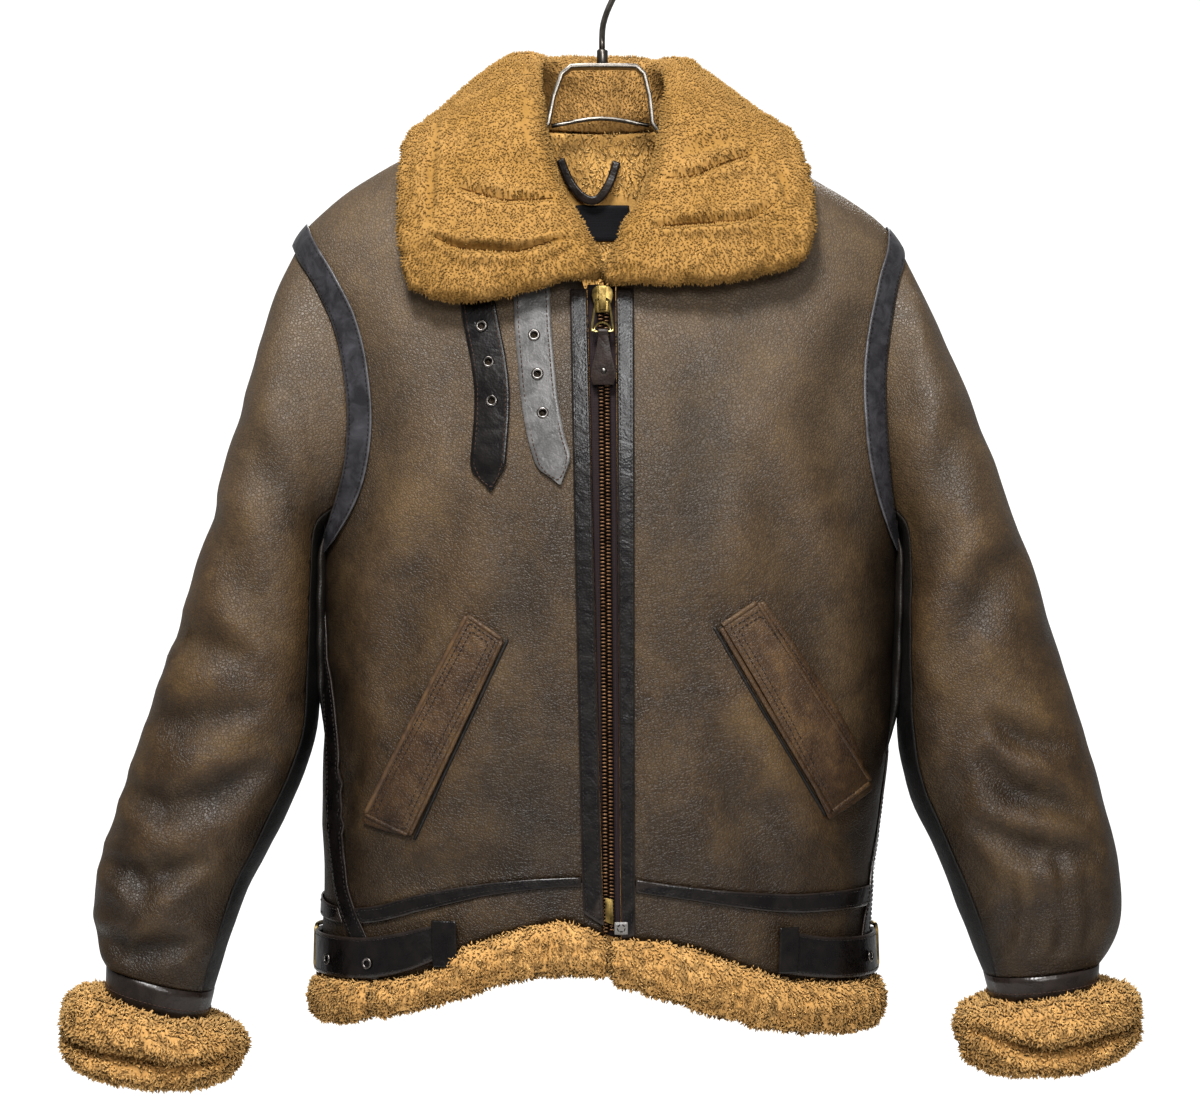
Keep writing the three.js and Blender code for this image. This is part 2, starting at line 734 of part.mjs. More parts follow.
// Profile of the turned fleece: how far along the arm from the band, and its half width
const cuffProfile = [
  { along: 0.4, half: 44 },
  { along: 3, half: 58 },
  { along: 8, half: 66 },
  { along: 16, half: 69.5 },
  { along: 25, half: 69 },
  { along: 30.5, half: 65.5 },
  { along: 35, half: 66.5 },
  { along: 41, half: 65 },
  { along: 48, half: 58 },
  { along: 54, half: 47 },
  { along: 53, half: 38 },
  { along: 33, half: 33 },
  { along: 0.4, half: 33 },
];
const cuffLean = { [RIGHT]: 6, [LEFT]: 7 }; // degrees that a cuff leans out from straight down
const cuffDepthShare = 0.93;
for (const side of SIDES) {
  const name = sideName(side);
  const end = cuffEnds[side];
  const ends = [sleeveRings[side][lastRing - 1], end];
  const turnOf = (c) => (360 * c) / cuffSides;
  add(
    `cuff_band_${name}`,
    "trim",
    wall(
      2,
      cuffSides,
      (r, c) => ringPoint(side, ends[r], turnOf(c), 0.6),
      (r, c) => ringPoint(side, ends[r], turnOf(c), -bandThick),
      { loop: true, trim: 0.4 },
    ),
  );
  const lean = radians(cuffLean[side]);
  const [midX, midZ] = [(end.outerX + end.innerX) / 2, (end.outerZ + end.innerZ) / 2];
  const down = vec(side * Math.sin(lean), 0, -Math.cos(lean));
  const out = vec(side * Math.cos(lean), 0, Math.sin(lean));
  const bandLean = Math.atan2(end.outerZ - end.innerZ, end.outerX - end.innerX);
  add(
    `cuff_fleece_${name}`,
    "fleece",
    hoop(cuffProfile, cuffSides, ({ along, half }, turn) => {
      const [c, s] = [Math.cos(radians(turn)), Math.sin(radians(turn))];
      // Near the band the fleece keeps the band's own slant
      const slant = Math.tan(bandLean - lean) * half * c * clamp(1 - along / 30, 0, 1);
      return vec(side * midX, -end.forward - half * cuffDepthShare * s, midZ)
        .addScaledVector(down, along - slant)
        .addScaledVector(out, half * c);
    }),
  );
}

// Places on the front of the body that are given by x and z, at a distance out
function facingFront(x, z, out) {
  let level = z;
  for (let pass = 0; pass < 8; pass += 1) level += z - bodyPoint(angleAtX(x, level), level).z;
  return onBody(angleAtX(x, level), level, out);
}
// Places by the angle and the height
function atHeight(angle, z, out) {
  let level = z;
  for (let pass = 0; pass < 8; pass += 1) level += z - bodyPoint(angle, level).z;
  return onBody(angle, level, out);
}

// Zip: its tape, chain, slider, wire bail, leather pull, box and end tab
const zipTapeTop = -2; // below the leather's surface
const zipTapeThick = 1;
const chainHalf = 4.3;
const chainOut = 2.4;
const chainTop = -294;
const boxFoot = -768;
const boxLong = 30;
const chainFoot = boxFoot + boxLong + 0.4;
add(
  "zip_tape",
  "zipCloth",
  upright(
    spread(zipTop - 2, hemEdge + 2, 10),
    3,
    (level) => besideZip(RIGHT, level, zipEdge(RIGHT, level) - seamGap),
    (level) => besideZip(LEFT, level, zipEdge(LEFT, level) - seamGap),
    () => zipTapeTop,
    zipTapeTop - zipTapeThick,
  ),
);
add(
  "zip_chain",
  "zipMetal",
  upright(
    spread(chainTop, chainFoot, 10),
    2,
    (level) => besideZip(RIGHT, level, chainHalf),
    (level) => besideZip(LEFT, level, chainHalf),
    () => chainOut,
    zipTapeTop + 0.4,
  ),
);
add(
  "zip_box",
  "brass",
  upright(
    spread(boxFoot + boxLong, boxFoot, 2),
    2,
    (level) => besideZip(RIGHT, level, 3),
    (level) => besideZip(LEFT, level, 3),
    () => chainOut + 0.5,
    zipTapeTop + 0.4,
  ),
);

// A flat shape drawn in x and z, between two depths
function plate(outline, near, far, holes = []) {
  const shape = new THREE.Shape(outline.map(([x, z]) => new THREE.Vector2(x, z)));
  for (const hole of holes) shape.holes.push(hole);
  const geometry = new THREE.ExtrudeGeometry(shape, { depth: far - near, bevelEnabled: false });
  // The shape's plane becomes x and z, and its depth runs to the back
  geometry.rotateX(Math.PI / 2);
  geometry.scale(1, -1, 1);
  geometry.translate(0, near, 0);
  return faceOutAgain(plain(geometry));
}
function faceOutAgain(geometry) {
  const position = geometry.attributes.position;
  const points = Array.from({ length: position.count }, (_, i) =>
    new THREE.Vector3().fromBufferAttribute(position, i),
  );
  return faceOut(points, [...geometry.index.array]);
}

const sliderX = -0.5;
const sliderFront = -bodyPoint(0, -284).y; // how far forward the leather stands there
const sliderPlate = sliderFront + chainOut + 0.6;
const hingeZ = -283.5;
const wire = 0.85; // half the thickness of the bail's wire
const hingeOut = sliderPlate + 2.6 + wire;
const bridgeTop = hingeOut + wire + 1.6;
const shield = [
  [-4.5, -274],
  [4.5, -274],
  [7.2, -277],
  [7.8, -281],
  [6.6, -285.5],
  [5.2, -289],
  [4.6, -293.4],
  [-4.6, -293.4],
  [-5.2, -289],
  [-6.6, -285.5],
  [-7.8, -281],
  [-7.2, -277],
].map(([x, z]) => [x + sliderX, z]);
{
  const body = toSolid(plate(shield, -sliderPlate - 2, -sliderFront));
  const box = (halfX, fromZ, toZ, near, far) =>
    toSolid(
      plate(
        [
          [sliderX - halfX, fromZ],
          [sliderX + halfX, fromZ],
          [sliderX + halfX, toZ],
          [sliderX - halfX, toZ],
        ],
        -near,
        -far,
      ),
    );
  const bridge = box(2.6, -274.6, -291.5, bridgeTop, sliderPlate + 1);
  const eye = box(4, hingeZ + 1.8, hingeZ - 1.8, hingeOut + wire + 0.4, sliderPlate + 2.2);
  add("zip_slider", "brass", toGeometry(body.add(bridge).subtract(eye)));
}

// A round rod along an open curve, with flat ends
function rodAlong(curve, steps, radius, sides) {
  const circle = new THREE.Shape(
    spread(0, 360, sides + 1)
      .slice(0, sides)
      .map((turn) => {
        const at = radians(turn);
        return new THREE.Vector2(radius * Math.cos(at), radius * Math.sin(at));
      }),
  );
  return plain(new THREE.ExtrudeGeometry(circle, { steps, extrudePath: curve }));
}

// The bail is a wire frame that narrows to the slider, with an arch above its foot. It hangs
// with its foot forward, because the chain is in its way.
const bailLong = 24.8;
const bailHeadHalf = 4.6;
const bailFootHalf = 8;
const bailLean = -13; // degrees
const archRadius = 5.8;
const wireSides = 6;
const turnBail = (geometry) =>
  geometry.rotateX(radians(bailLean)).translate(sliderX, -hingeOut, hingeZ);
const bailFoot = vec(0, 0, -bailLong)
  .applyAxisAngle(vec(1, 0, 0), radians(bailLean))
  .add(vec(sliderX, -hingeOut, hingeZ));
// A closed line with rounded corners
function roundedLoop(corners, radius) {
  const path = new THREE.CurvePath();
  const towards = (from, to) => from.clone().add(to.clone().sub(from).setLength(radius));
  const next = (i) => corners[(i + 1) % corners.length];
  corners.forEach((corner, i) => {
    const before = corners[(i + corners.length - 1) % corners.length];
    path.add(new THREE.QuadraticBezierCurve3(towards(corner, before), corner, towards(corner, next(i))));
    path.add(new THREE.LineCurve3(towards(corner, next(i)), towards(next(i), corner)));
  });
  return path;
}
{
  const frame = roundedLoop(
    [
      vec(-bailHeadHalf, 0, 0),
      vec(-bailFootHalf, 0, -bailLong),
      vec(bailFootHalf, 0, -bailLong),
      vec(bailHeadHalf, 0, 0),
    ],
    2,
  );
  const loop = toSolid(turnBail(new THREE.TubeGeometry(frame, 28, wire, wireSides, true)));
  const arch = new THREE.CatmullRomCurve3(
    spread(-8, 188, 11).map((turn) =>
      vec(
        archRadius * Math.cos(radians(turn)),
        0,
        0.9 - bailLong + archRadius * Math.sin(radians(turn)),
      ),
    ),
  );
  const bow = toSolid(turnBail(rodAlong(arch, 12, wire * 0.9, wireSides)));
  add("zip_bail", "brass", toGeometry(loop.add(bow)));
}

// The pull is folded round the foot of the bail and hangs straight down
const pullX = sliderX + 0.6;
const pullHalf = 1.5; // half its thickness
const pullOutline = [
  [-3.6, 0],
  [-3.6, -3.5],
  [-5.4, -14],
  [-8.4, -26],
  [-9.2, -31.5],
  [-7.4, -38],
  [7.4, -38],
  [9.2, -31.5],
  [8.4, -26],
  [5.4, -14],
  [3.6, -3.5],
  [3.6, 0],
].map(([x, z]) => [x + pullX, z + bailFoot.z]);
{
  const flat = toSolid(plate(pullOutline, bailFoot.y - pullHalf, bailFoot.y + pullHalf));
  const across = (radius, half) =>
    toSolid(
      new THREE.CylinderGeometry(radius, radius, half * 2, 12)
        .rotateZ(Math.PI / 2)
        .translate(pullX, bailFoot.y, bailFoot.z),
    );
  const fold = across(2.6, 3.6);
  const bore = across(wire + 0.5, 6);
  add("zip_pull", "trim", toGeometry(flat.add(fold).subtract(bore)));
}

// End tab of the zip, on the foot of the left facing
{
  const inside = tapeTop + seamGap;
  const place = (r, c, out) => facingFront(mix(7.8, 17.7, c / 2), mix(-728.6, -738, r), out);
  const outside = inside + 1.2;
  add("zip_end_tab", "trim", wall(2, 3, (r, c) => place(r, c, outside), (r, c) => place(r, c, inside)));
}

// A strap laid on the front along a line of stations, each with its half width
const strapColumns = ["x", "z", "half"];
function laidStrap(stations, halfAcross, inside, thick) {
  const middle = new THREE.CatmullRomCurve3(stations.map(({ x, z }) => vec(x, 0, z)));
  const last = stations.length - 1;
  const place = (r, c, out) => {
    const way = middle.getTangent(r / last);
    const across = vec(-way.z, 0, way.x).multiplyScalar(stations[r].half * halfAcross[c]);
    return facingFront(stations[r].x + across.x, stations[r].z + across.z, out);
  };
  return wall(
    stations.length,
    halfAcross.length,
    (r, c) => place(r, c, inside + thick),
    (r, c) => place(r, c, inside),
  );
}
const stationsOf = (rows) =>
  rows.map((row) => Object.fromEntries(strapColumns.map((name, i) => [name, row[i]])));
// The two straps under the right side of the collar; their points hang lowest
const collarStraps = {
  outer: {
    stations: stationsOf([
      [-93, -262, 12.5],
      [-90, -285, 12.5],
      [-86.5, -305, 12.6],
      [-82, -327, 12.6],
      [-79.5, -347, 12.6],
      [-79.5, -366, 12.6],
      [-80.8, -386, 12.6],
      [-82, -403, 12.6],
      [-81, -413, 9],
      [-79.5, -421, 2],
    ]),
    eyelets: [
      [-86.9, -303],
      [-81.8, -329],
      [-79.4, -357],
    ],
  },
  inner: {
    stations: stationsOf([
      [-52, -262, 13],
      [-51, -285, 13],
      [-50, -305, 13],
      [-48.3, -325, 13],
      [-46.6, -345, 13],
      [-43.8, -366, 13],
      [-40, -385, 13],
      [-35.5, -400, 13],
      [-33, -409, 9],
      [-31, -416, 2],
    ]),
    eyelets: [
      [-49.3, -310],
      [-46.8, -338],
      [-43, -366],
    ],
  },
};
const eyeletHole = 2.3;
const eyeletRim = 4.5;
const eyeletSides = 12;
const eyeletThick = 0.9;
// A round bar square to the body at a place on its front
function peg(x, z, radius, from, to) {
  const foot = facingFront(x, z, from);
  const head = facingFront(x, z, to);
  const turn = new THREE.Quaternion().setFromUnitVectors(
    vec(0, 1, 0),
    head.clone().sub(foot).normalize(),
  );
  return new THREE.CylinderGeometry(radius, radius, to - from, eyeletSides)
    .applyQuaternion(turn)
    .translate(...foot.clone().lerp(head, 0.5));
}
for (const [name, { stations, eyelets }] of Object.entries(collarStraps)) {
  let strap = toSolid(laidStrap(stations, [-1, 0, 1], restGap, strapThick));
  eyelets.forEach(([x, z], i) => {
    const hole = toSolid(peg(x, z, eyeletHole, -1, 8));
    strap = strap.subtract(hole);
    const top = restGap + strapThick + seamGap + 0.15;
    const rim = toSolid(peg(x, z, eyeletRim, top, top + eyeletThick));
    add(`${name}_strap_eyelet_${i + 1}`, "steel", toGeometry(rim.subtract(hole)));
  });
  add(`collar_strap_${name}`, "trim", toGeometry(strap));
}

// Pocket welts: a patch of the leather between four corners, as angles and levels
const weltThick = 2.2;
const pocketCorners = {
  right: [
    [angleAtX(-96.8, -509.5), -509.5],
    [angleAtX(-71, -527.4), -527.4],
    [angleAtX(-139, -671), -668],
    [angleAtX(-174.3, -658), -655],
  ],
  left: [
    [28.6, -499.6],
    [19.8, -518.1],
    [50.8, -659],
    [71.5, -638.6],
  ],
};
for (const name of ["right", "left"]) {
  const corners = pocketCorners[name].map(([angle, level]) => [arcOf(angle, level), level]);
  const [rows, columns] = [9, 3];
  const place = (r, c, out) => {
    const [down, over] = [r / (rows - 1), c / (columns - 1)];
    const along = (from, to, i) => mix(corners[from][i], corners[to][i], down);
    const at = (i) => mix(along(0, 3, i), along(1, 2, i), over);
    return alongBody(at(0), at(1), out);
  };
  add(
    `pocket_welt_${name}`,
    "trim",
    wall(
      rows,
      columns,
      (r, c) => place(r, c, restGap + weltThick),
      (r, c) => place(r, c, restGap),
    ),
  );
}

// Hem straps run from a tab on the front, over the side seam, to a ring on each side
const hemStraps = {
  right: [
    [angleAtX(-104.2, -744), -741, 9.8],
    [angleAtX(-122, -746), -746.2, 13.6],
    [angleAtX(-142, -754), -753.5, 15],
    [angleAtX(-160, -758), -758, 15],
    [angleAtX(-175.7, -760), -760.5, 15],
    [-65, -761, 15],
    [-71, -761.2, 15],
    [-79, -761.5, 15],
    [-86, -761.5, 15],
    [-93, -761.5, 15],
    [-99, -761.5, 15],
  ],
  left: [
    [angleAtX(125.4, -751), -752, 16],
    [angleAtX(142, -756), -756, 15.5],
    [angleAtX(158, -759), -759, 15],
    [angleAtX(175, -761), -761, 15],
    [69, -762, 15],
    [76, -762, 15],
    [83, -762, 15],
    [90, -762, 15],
    [96, -762, 15],
  ],
};
const hemStrapUnder = tapeTop + 0.8; // it clears the side tape
for (const [name, stations] of Object.entries(hemStraps)) {
  const place = (r, c, out) => {
    const [angle, z, half] = stations[r];
    return atHeight(angle, z + half * (1 - c), out);
  };
  add(
    `hem_strap_${name}`,
    "trim",
    wall(
      stations.length,
      3,
      (r, c) => place(r, c, hemStrapUnder + strapThick),
      (r, c) => place(r, c, hemStrapUnder),
    ),
  );
}
// Each ring lies over the strap, and a short doubled strap holds its back bar. Both are drawn
// flat, as length round the hem, height and distance out, and then laid on the body.
const buckleHalf = 10;
const buckleHigh = 16.5;
const buckleWire = 1.7;
const buckleOut = hemStrapUnder + strapThick + seamGap + buckleWire;
const chapeHalf = 11;
const buckleLevel = -762;
for (const side of SIDES) {
  const name = sideName(side);
  const middle = arcOf(100, buckleLevel);
  const lay = (geometry) => {
    const position = geometry.attributes.position;
    for (let i = 0; i < position.count; i += 1) {
      const flat = new THREE.Vector3().fromBufferAttribute(position, i);
      const angle = side * angleOf(middle + flat.x, buckleLevel);
      const point = atHeight(angle, buckleLevel + flat.z, flat.y);
      position.setXYZ(i, ...point);
    }
    return faceOutAgain(plain(geometry));
  };
  const frame = roundedLoop(
    [
      vec(-buckleHalf, buckleOut, -buckleHigh),
      vec(buckleHalf, buckleOut, -buckleHigh),
      vec(buckleHalf, buckleOut, buckleHigh),
      vec(-buckleHalf, buckleOut, buckleHigh),
    ],
    4,
  );
  add(`hem_buckle_${name}`, "brass", lay(new THREE.TubeGeometry(frame, 24, buckleWire, 6, true)));
  // The section of the doubled strap: a tongue on the hem and a loop round the bar
  const bar = new THREE.Vector2(buckleHalf, buckleOut);
  const loopRadius = buckleWire + 2.5;
  const around = (turn, radius) => [
    bar.x + radius * Math.cos(radians(turn)),
    bar.y + radius * Math.sin(radians(turn)),
  ];
  const section = new THREE.Shape([
    new THREE.Vector2(bar.x + 22, restGap + 0.2),
    new THREE.Vector2(bar.x + 22, restGap + 3.2),
    new THREE.Vector2(bar.x + 13, restGap + 4.4),
    ...spread(25, 245, 8).map((turn) => new THREE.Vector2(...around(turn, loopRadius))),
    new THREE.Vector2(bar.x + 4, restGap + 0.2),
    new THREE.Vector2(bar.x + 13, restGap + 0.2),
  ]);
  section.holes.push(
    new THREE.Path(
      spread(0, 360, 9)
        .slice(0, 8)
        .map((turn) => new THREE.Vector2(...around(-turn, buckleWire + 0.5))),
    ),
  );
  const chape = new THREE.ExtrudeGeometry(section, { depth: chapeHalf * 2, bevelEnabled: false });
  chape.translate(0, 0, -chapeHalf);
  add(`hem_chape_${name}`, "trim", lay(chape));
}

// Hanging loop and label inside the back neck
const backInside = -skin - 1;
const insideBack = (x, z, off) => {
  const level = z;
  return onBody(180 - angleAtX(x, level), level, backInside - off);
};
const loopLine = [
  [-33.5, -160, 0],
  [-29, -171, 1.5],
  [-22, -182, 3.5],
  [-13, -189.5, 5],
  [-5, -190.5, 5],
  [2.5, -182.5, 4],
  [7.5, -173, 2],
  [11, -162, 0],
];
{
  const line = new THREE.CatmullRomCurve3(loopLine.map(([x, z, off]) => vec(x, off, z)));
  const rows = 14;
  const place = (r, c, depth) => {
    const at = line.getPoint(r / (rows - 1));
    const way = line.getTangent(r / (rows - 1));
    const across = vec(-way.z, 0, way.x).setLength(3.5 * (c * 2 - 1));
    return insideBack(at.x + across.x, at.z + across.z, at.y + depth);
  };
  add("hanger_loop", "trim", wall(rows, 2, (r, c) => place(r, c, 0), (r, c) => place(r, c, 2.2)));
}
{
  const [rows, columns] = [3, 7];
  const place = (r, c, depth) =>
    insideBack(mix(-21.6, 20.9, c / (columns - 1)), mix(-194.5, -222.3, r / (rows - 1)), depth);
  add("neck_label", "labelCloth", wall(rows, columns, (r, c) => place(r, c, 0), (r, c) => place(r, c, 1)));
}

// Hanger: a wire hook in a ferrule, a flat band bent over the neck and out to the shoulders,
// and a rod across it
const hookWire = 2.25;
const hookRadius = 22.25;
const hookMiddle = hookWire - hookRadius;
const hookLine = [
  ...spread(200, -40, 17).map((turn) => [
    hookRadius * Math.cos(radians(turn)),
    hookMiddle + hookRadius * Math.sin(radians(turn)),
  ]),
  [12, -42],
  [7, -51],
  [2.6, -61],
  [0, -70],
  [-0.7, -79],
  [-0.7, -87.7],
];
{
  const line = new THREE.CatmullRomCurve3(hookLine.map(([x, z]) => vec(x, 0, z)));
  add("hanger_hook", "steel", rodAlong(line, 32, hookWire, 8));
}
const ferrule = { x: -0.5, top: -88, foot: -98.8, radius: 4.2 };
add(
  "hanger_ferrule",
  "steel",
  plain(
    new THREE.LatheGeometry(
      [
        [0, ferrule.foot],
        [ferrule.radius, ferrule.foot],
        [ferrule.radius, ferrule.top - 1.2],
        [ferrule.radius - 1.2, ferrule.top],
        [0, ferrule.top],
      ].map(([r, z]) => new THREE.Vector2(r, z)),
      14,
    )
      .rotateX(Math.PI / 2)
      .translate(ferrule.x, 0, 0),
  ),
);

// Half of the band's line on each side, from the middle of its top to a leg, and on outward
const bandHalfDeep = 7;
const bandHalfThick = 1.5;
const bandLegs = {
  [RIGHT]: [
    [-12, -100.9],
    [-24, -101.4],
    [-31, -107],
    [-37, -124],
    [-41, -144],
    [-46, -152.5],
    [-57, -156.5],
    [-70, -157],
  ],
  [LEFT]: [
    [12, -100.9],
    [25, -101.4],
    [31, -107],
    [35, -124],
    [37, -144],
    [43, -152.5],
    [55, -156.5],
    [70, -157],
  ],
};
const armLevels = [-148, -156, -165, -174, -184, -193, -201];
{
  const arm = (side) =>
    armLevels.map((level) => onBody(side * 90, level, -skin - 1.6 - bandHalfThick));
  const line = [
    ...arm(RIGHT).reverse(),
    ...bandLegs[RIGHT].map(([x, z]) => vec(x, 0, z)).reverse(),
    ...bandLegs[LEFT].map(([x, z]) => vec(x, 0, z)),
    ...arm(LEFT),
  ];
  const place = (r, c, way) => {
    const before = line[Math.max(r - 1, 0)];
    const after = line[Math.min(r + 1, line.length - 1)];
    const along = after.clone().sub(before);
    const up = vec(-along.z, 0, along.x).normalize();
    return vec(line[r].x, bandHalfDeep * (1 - 2 * c), line[r].z).addScaledVector(up, way * bandHalfThick);
  };
  add("hanger_band", "steel", wall(line.length, 2, (r, c) => place(r, c, 1), (r, c) => place(r, c, -1)));
}
{
  const rod = new THREE.CatmullRomCurve3([vec(-38.6, 0, -145.5), vec(-2, 0, -139.8), vec(34.6, 0, -145)]);
  add("hanger_rod", "steel", rodAlong(rod, 8, 1.6, 8));
}

// Collar: from the neck seam over a crest, down a fall to its outer edge.
// The share runs from the middle of the back, 0, to the front end, 1.
const guideColumns = ["share", "crestX", "crestY", "crestZ", "fallX", "fallY", "fallZ"];
const collarGuides = {
  [RIGHT]: table(guideColumns, [
    [0, 0, 63, -88, 0, 88, -122],
    [0.18, 34, 47, -88, 58, 70, -114],
    [0.36, 52, 14, -90, 88, 26, -111],
    [0.48, 52, -18, -109, 98, -14, -130],
    [0.62, 46, -52, -157, 100, -50, -166],
    [0.76, 36, -76, -204, 97, -74, -210],
    [0.9, 24, -92, -244, 92, -92, -255],
    [1, 19, -97, -268, 84, -98, -288],
  ]),
  [LEFT]: table(guideColumns, [
    [0, 0, 63, -88, 0, 88, -122],
    [0.18, 34, 47, -88, 56, 70, -120],
    [0.36, 50, 14, -91, 84, 26, -118],
    [0.48, 51, -18, -111, 96, -14, -135],
    [0.62, 46, -52, -157, 100, -50, -168],
    [0.76, 36, -76, -204, 99, -74, -208],
    [0.9, 24, -92, -246, 94, -92, -248],
    [1, 20, -97, -274, 84, -98, -273],
  ]),
};
const edgeColumns = ["share", "x", "y", "z"];
const collarEdges = {
  [RIGHT]: table(edgeColumns, [
    [0, 0, 102, -182],
    [0.18, 84, 82, -164],
    [0.36, 123, 32, -152],
    [0.48, 138, -6, -156],
    [0.62, 147, -40, -182],
    [0.76, 148.5, -64, -218],
    [0.9, 146, -80, -252],
    [1, 138, -88, -280],
  ]),
  [LEFT]: table(edgeColumns, [
    [0, 0, 102, -182],
    [0.18, 82, 82, -166],
    [0.36, 118, 32, -149.5],
    [0.48, 135, -6, -151],
    [0.62, 149, -40, -177],
    [0.76, 153, -64, -210],
    [0.9, 151, -80, -238],
    [1, 142, -88, -260],
  ]),
};
// The fall stands off the fronts, where the two straps hang from under it
const collarClear = (share) => 3.2 + 2 * clamp((share - 0.6) / 0.2, 0, 1);
const neckShare = 0.4; // where the neck point lies on the collar's length
const collarGap = 0.45; // between the collar and the neck edge of the body

// The neck seam under the collar, at a depth into the wall
function neckSeam(side, share, depth) {
  let angle;
  let level;
  if (share < neckShare) {
    angle = side * mix(180, 90, share / neckShare);
    level = backNeckLevel(angle);
  } else {
    level = mix(neckPoint, zipTop, (share - neckShare) / (1 - neckShare));
    angle = angleAtX(side * read(neckline, "level", sideName(side), level), level);
  }
  return onBody(angle, level, -depth);
}
function seamWay(side, share, depth) {
  // Square to the seam and to the wall, towards the neck hole
  const [before, after] = [Math.max(share - 0.01, 0), Math.min(share + 0.01, 1)];
  const along = neckSeam(side, after, depth).sub(neckSeam(side, before, depth));
  const across = neckSeam(side, share, 0).sub(neckSeam(side, share, 2));
  return along.cross(across).normalize().multiplyScalar(side);
}
function collarCentre(side, share, q) {
  const at = (column) => read(collarGuides[side], "share", column, share);
  const edge = (column) => read(collarEdges[side], "share", column, share);
  const start = neckSeam(side, share, skin / 2).addScaledVector(seamWay(side, share, skin / 2), collarGap);
  const points = [
    start,
    vec(side * at("crestX"), at("crestY"), at("crestZ")),
    vec(side * at("fallX"), at("fallY"), at("fallZ")),
    vec(side * edge("x"), edge("y"), edge("z")),
  ];
  const curve = new THREE.CatmullRomCurve3(points, false, "centripetal");
  const point = curve.getPoint(q);
  if (q > 0.3) settle(point, collarThick / 2 + collarClear(share), true);
  return point;
}
const collarRows = [0, 0.1, 0.2, 0.28, 0.36, 0.46, 0.6, 0.74, 0.88, 0.96, 1];
const collarWall = table(
  ["q", "thick"],
  [
    [0, 8],
    [0.18, 14],
    [0.4, 16],
    [0.9, 16],
    [0.97, 13],
    [1, 7],
  ],
);
function collarShell() {
  const backHalf = backShares.filter((share) => share <= 0.5).map((share) => neckShare * (1 - 2 * share));
  const frontHalf = panelLevels
    .filter((level) => level >= zipTop - 0.01 && level < neckPoint)
    .map((level) => mix(neckShare, 1, (neckPoint - level) / (neckPoint - zipTop)));
  const halfStations = [...backHalf.reverse(), ...frontHalf];
  const stations = [
    ...halfStations.slice(1).reverse().map((share) => [RIGHT, share]),
    ...halfStations.map((share) => [LEFT, share]),
  ];
  const normalAt = (side, share, q) => {
    const step = 0.01;
    const sweep = collarCentre(side, Math.min(share + step, 1), q).sub(
      collarCentre(side, Math.max(share - step, 0), q),
    );
    if (share < step) sweep.set(side, 0, 0);
    const across = collarCentre(side, share, Math.min(q + step, 1)).sub(
      collarCentre(side, share, Math.max(q - step, 0)),
    );
    return across.cross(sweep).multiplyScalar(side).normalize();
  };
  const face = (way) => (r, c) => {
    const [side, share] = stations[c];
    const q = collarRows[r];
    if (r === 0) {
      const depth = way > 0 ? 0 : skin;
      return neckSeam(side, share, depth).addScaledVector(seamWay(side, share, depth), collarGap);
    }
    const thick = read(collarWall, "q", "thick", q);
    const point = collarCentre(side, share, q);
    point.addScaledVector(normalAt(side, share, q), (way * thick) / 2);
    return way > 0 ? settle(point, restGap + 0.7, true) : point;
  };
  return wall(collarRows.length, stations.length, face(1), face(-1), { trim: 0 });
}
add("collar", "fleece", collarShell());

export default coat;
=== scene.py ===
"""Looks for a sheepskin flying jacket that hangs on a bent steel hanger.

Sizes in tables are in millimetres: x to the wearer's left, y to the back, z up.
"""

import math

import bmesh
import bpy
import numpy as np
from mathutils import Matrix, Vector, noise
from mathutils.bvhtree import BVHTree


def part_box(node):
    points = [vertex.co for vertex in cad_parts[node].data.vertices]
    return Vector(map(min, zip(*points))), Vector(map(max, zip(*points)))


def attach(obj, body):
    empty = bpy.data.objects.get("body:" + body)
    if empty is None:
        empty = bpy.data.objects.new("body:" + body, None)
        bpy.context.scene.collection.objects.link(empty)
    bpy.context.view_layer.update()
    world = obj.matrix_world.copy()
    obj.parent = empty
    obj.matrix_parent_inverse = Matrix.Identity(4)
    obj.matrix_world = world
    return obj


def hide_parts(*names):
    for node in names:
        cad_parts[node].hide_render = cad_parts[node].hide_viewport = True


bl_info = {
    "name": "Sheepskin jacket",
    "version": (1, 0, 0),
    "blender": (4, 5, 0),
    "location": "View3D > Sidebar > Jacket",
    "description": "Dresses the solids of a sheepskin flying jacket in leather, wool and metal",
    "category": "Object",
}

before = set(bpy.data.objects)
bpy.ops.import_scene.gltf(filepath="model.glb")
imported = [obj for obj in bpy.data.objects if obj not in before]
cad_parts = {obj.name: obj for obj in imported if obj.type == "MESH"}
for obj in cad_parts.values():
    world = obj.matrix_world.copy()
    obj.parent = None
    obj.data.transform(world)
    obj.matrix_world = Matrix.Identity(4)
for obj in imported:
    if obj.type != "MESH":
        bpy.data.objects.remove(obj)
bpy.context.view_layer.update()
COAT = "coat"
MM = 0.001
SIDES = ("right", "left")
# Corners of a CAD node that are closer than this in millimetres are one corner
WELD = 0.02
# Triangles that bend less than this are paired to quads, and an edge that bends more stays sharp
PAIRED_WITHIN = math.radians(70)
SHARP_EDGE = math.radians(45)

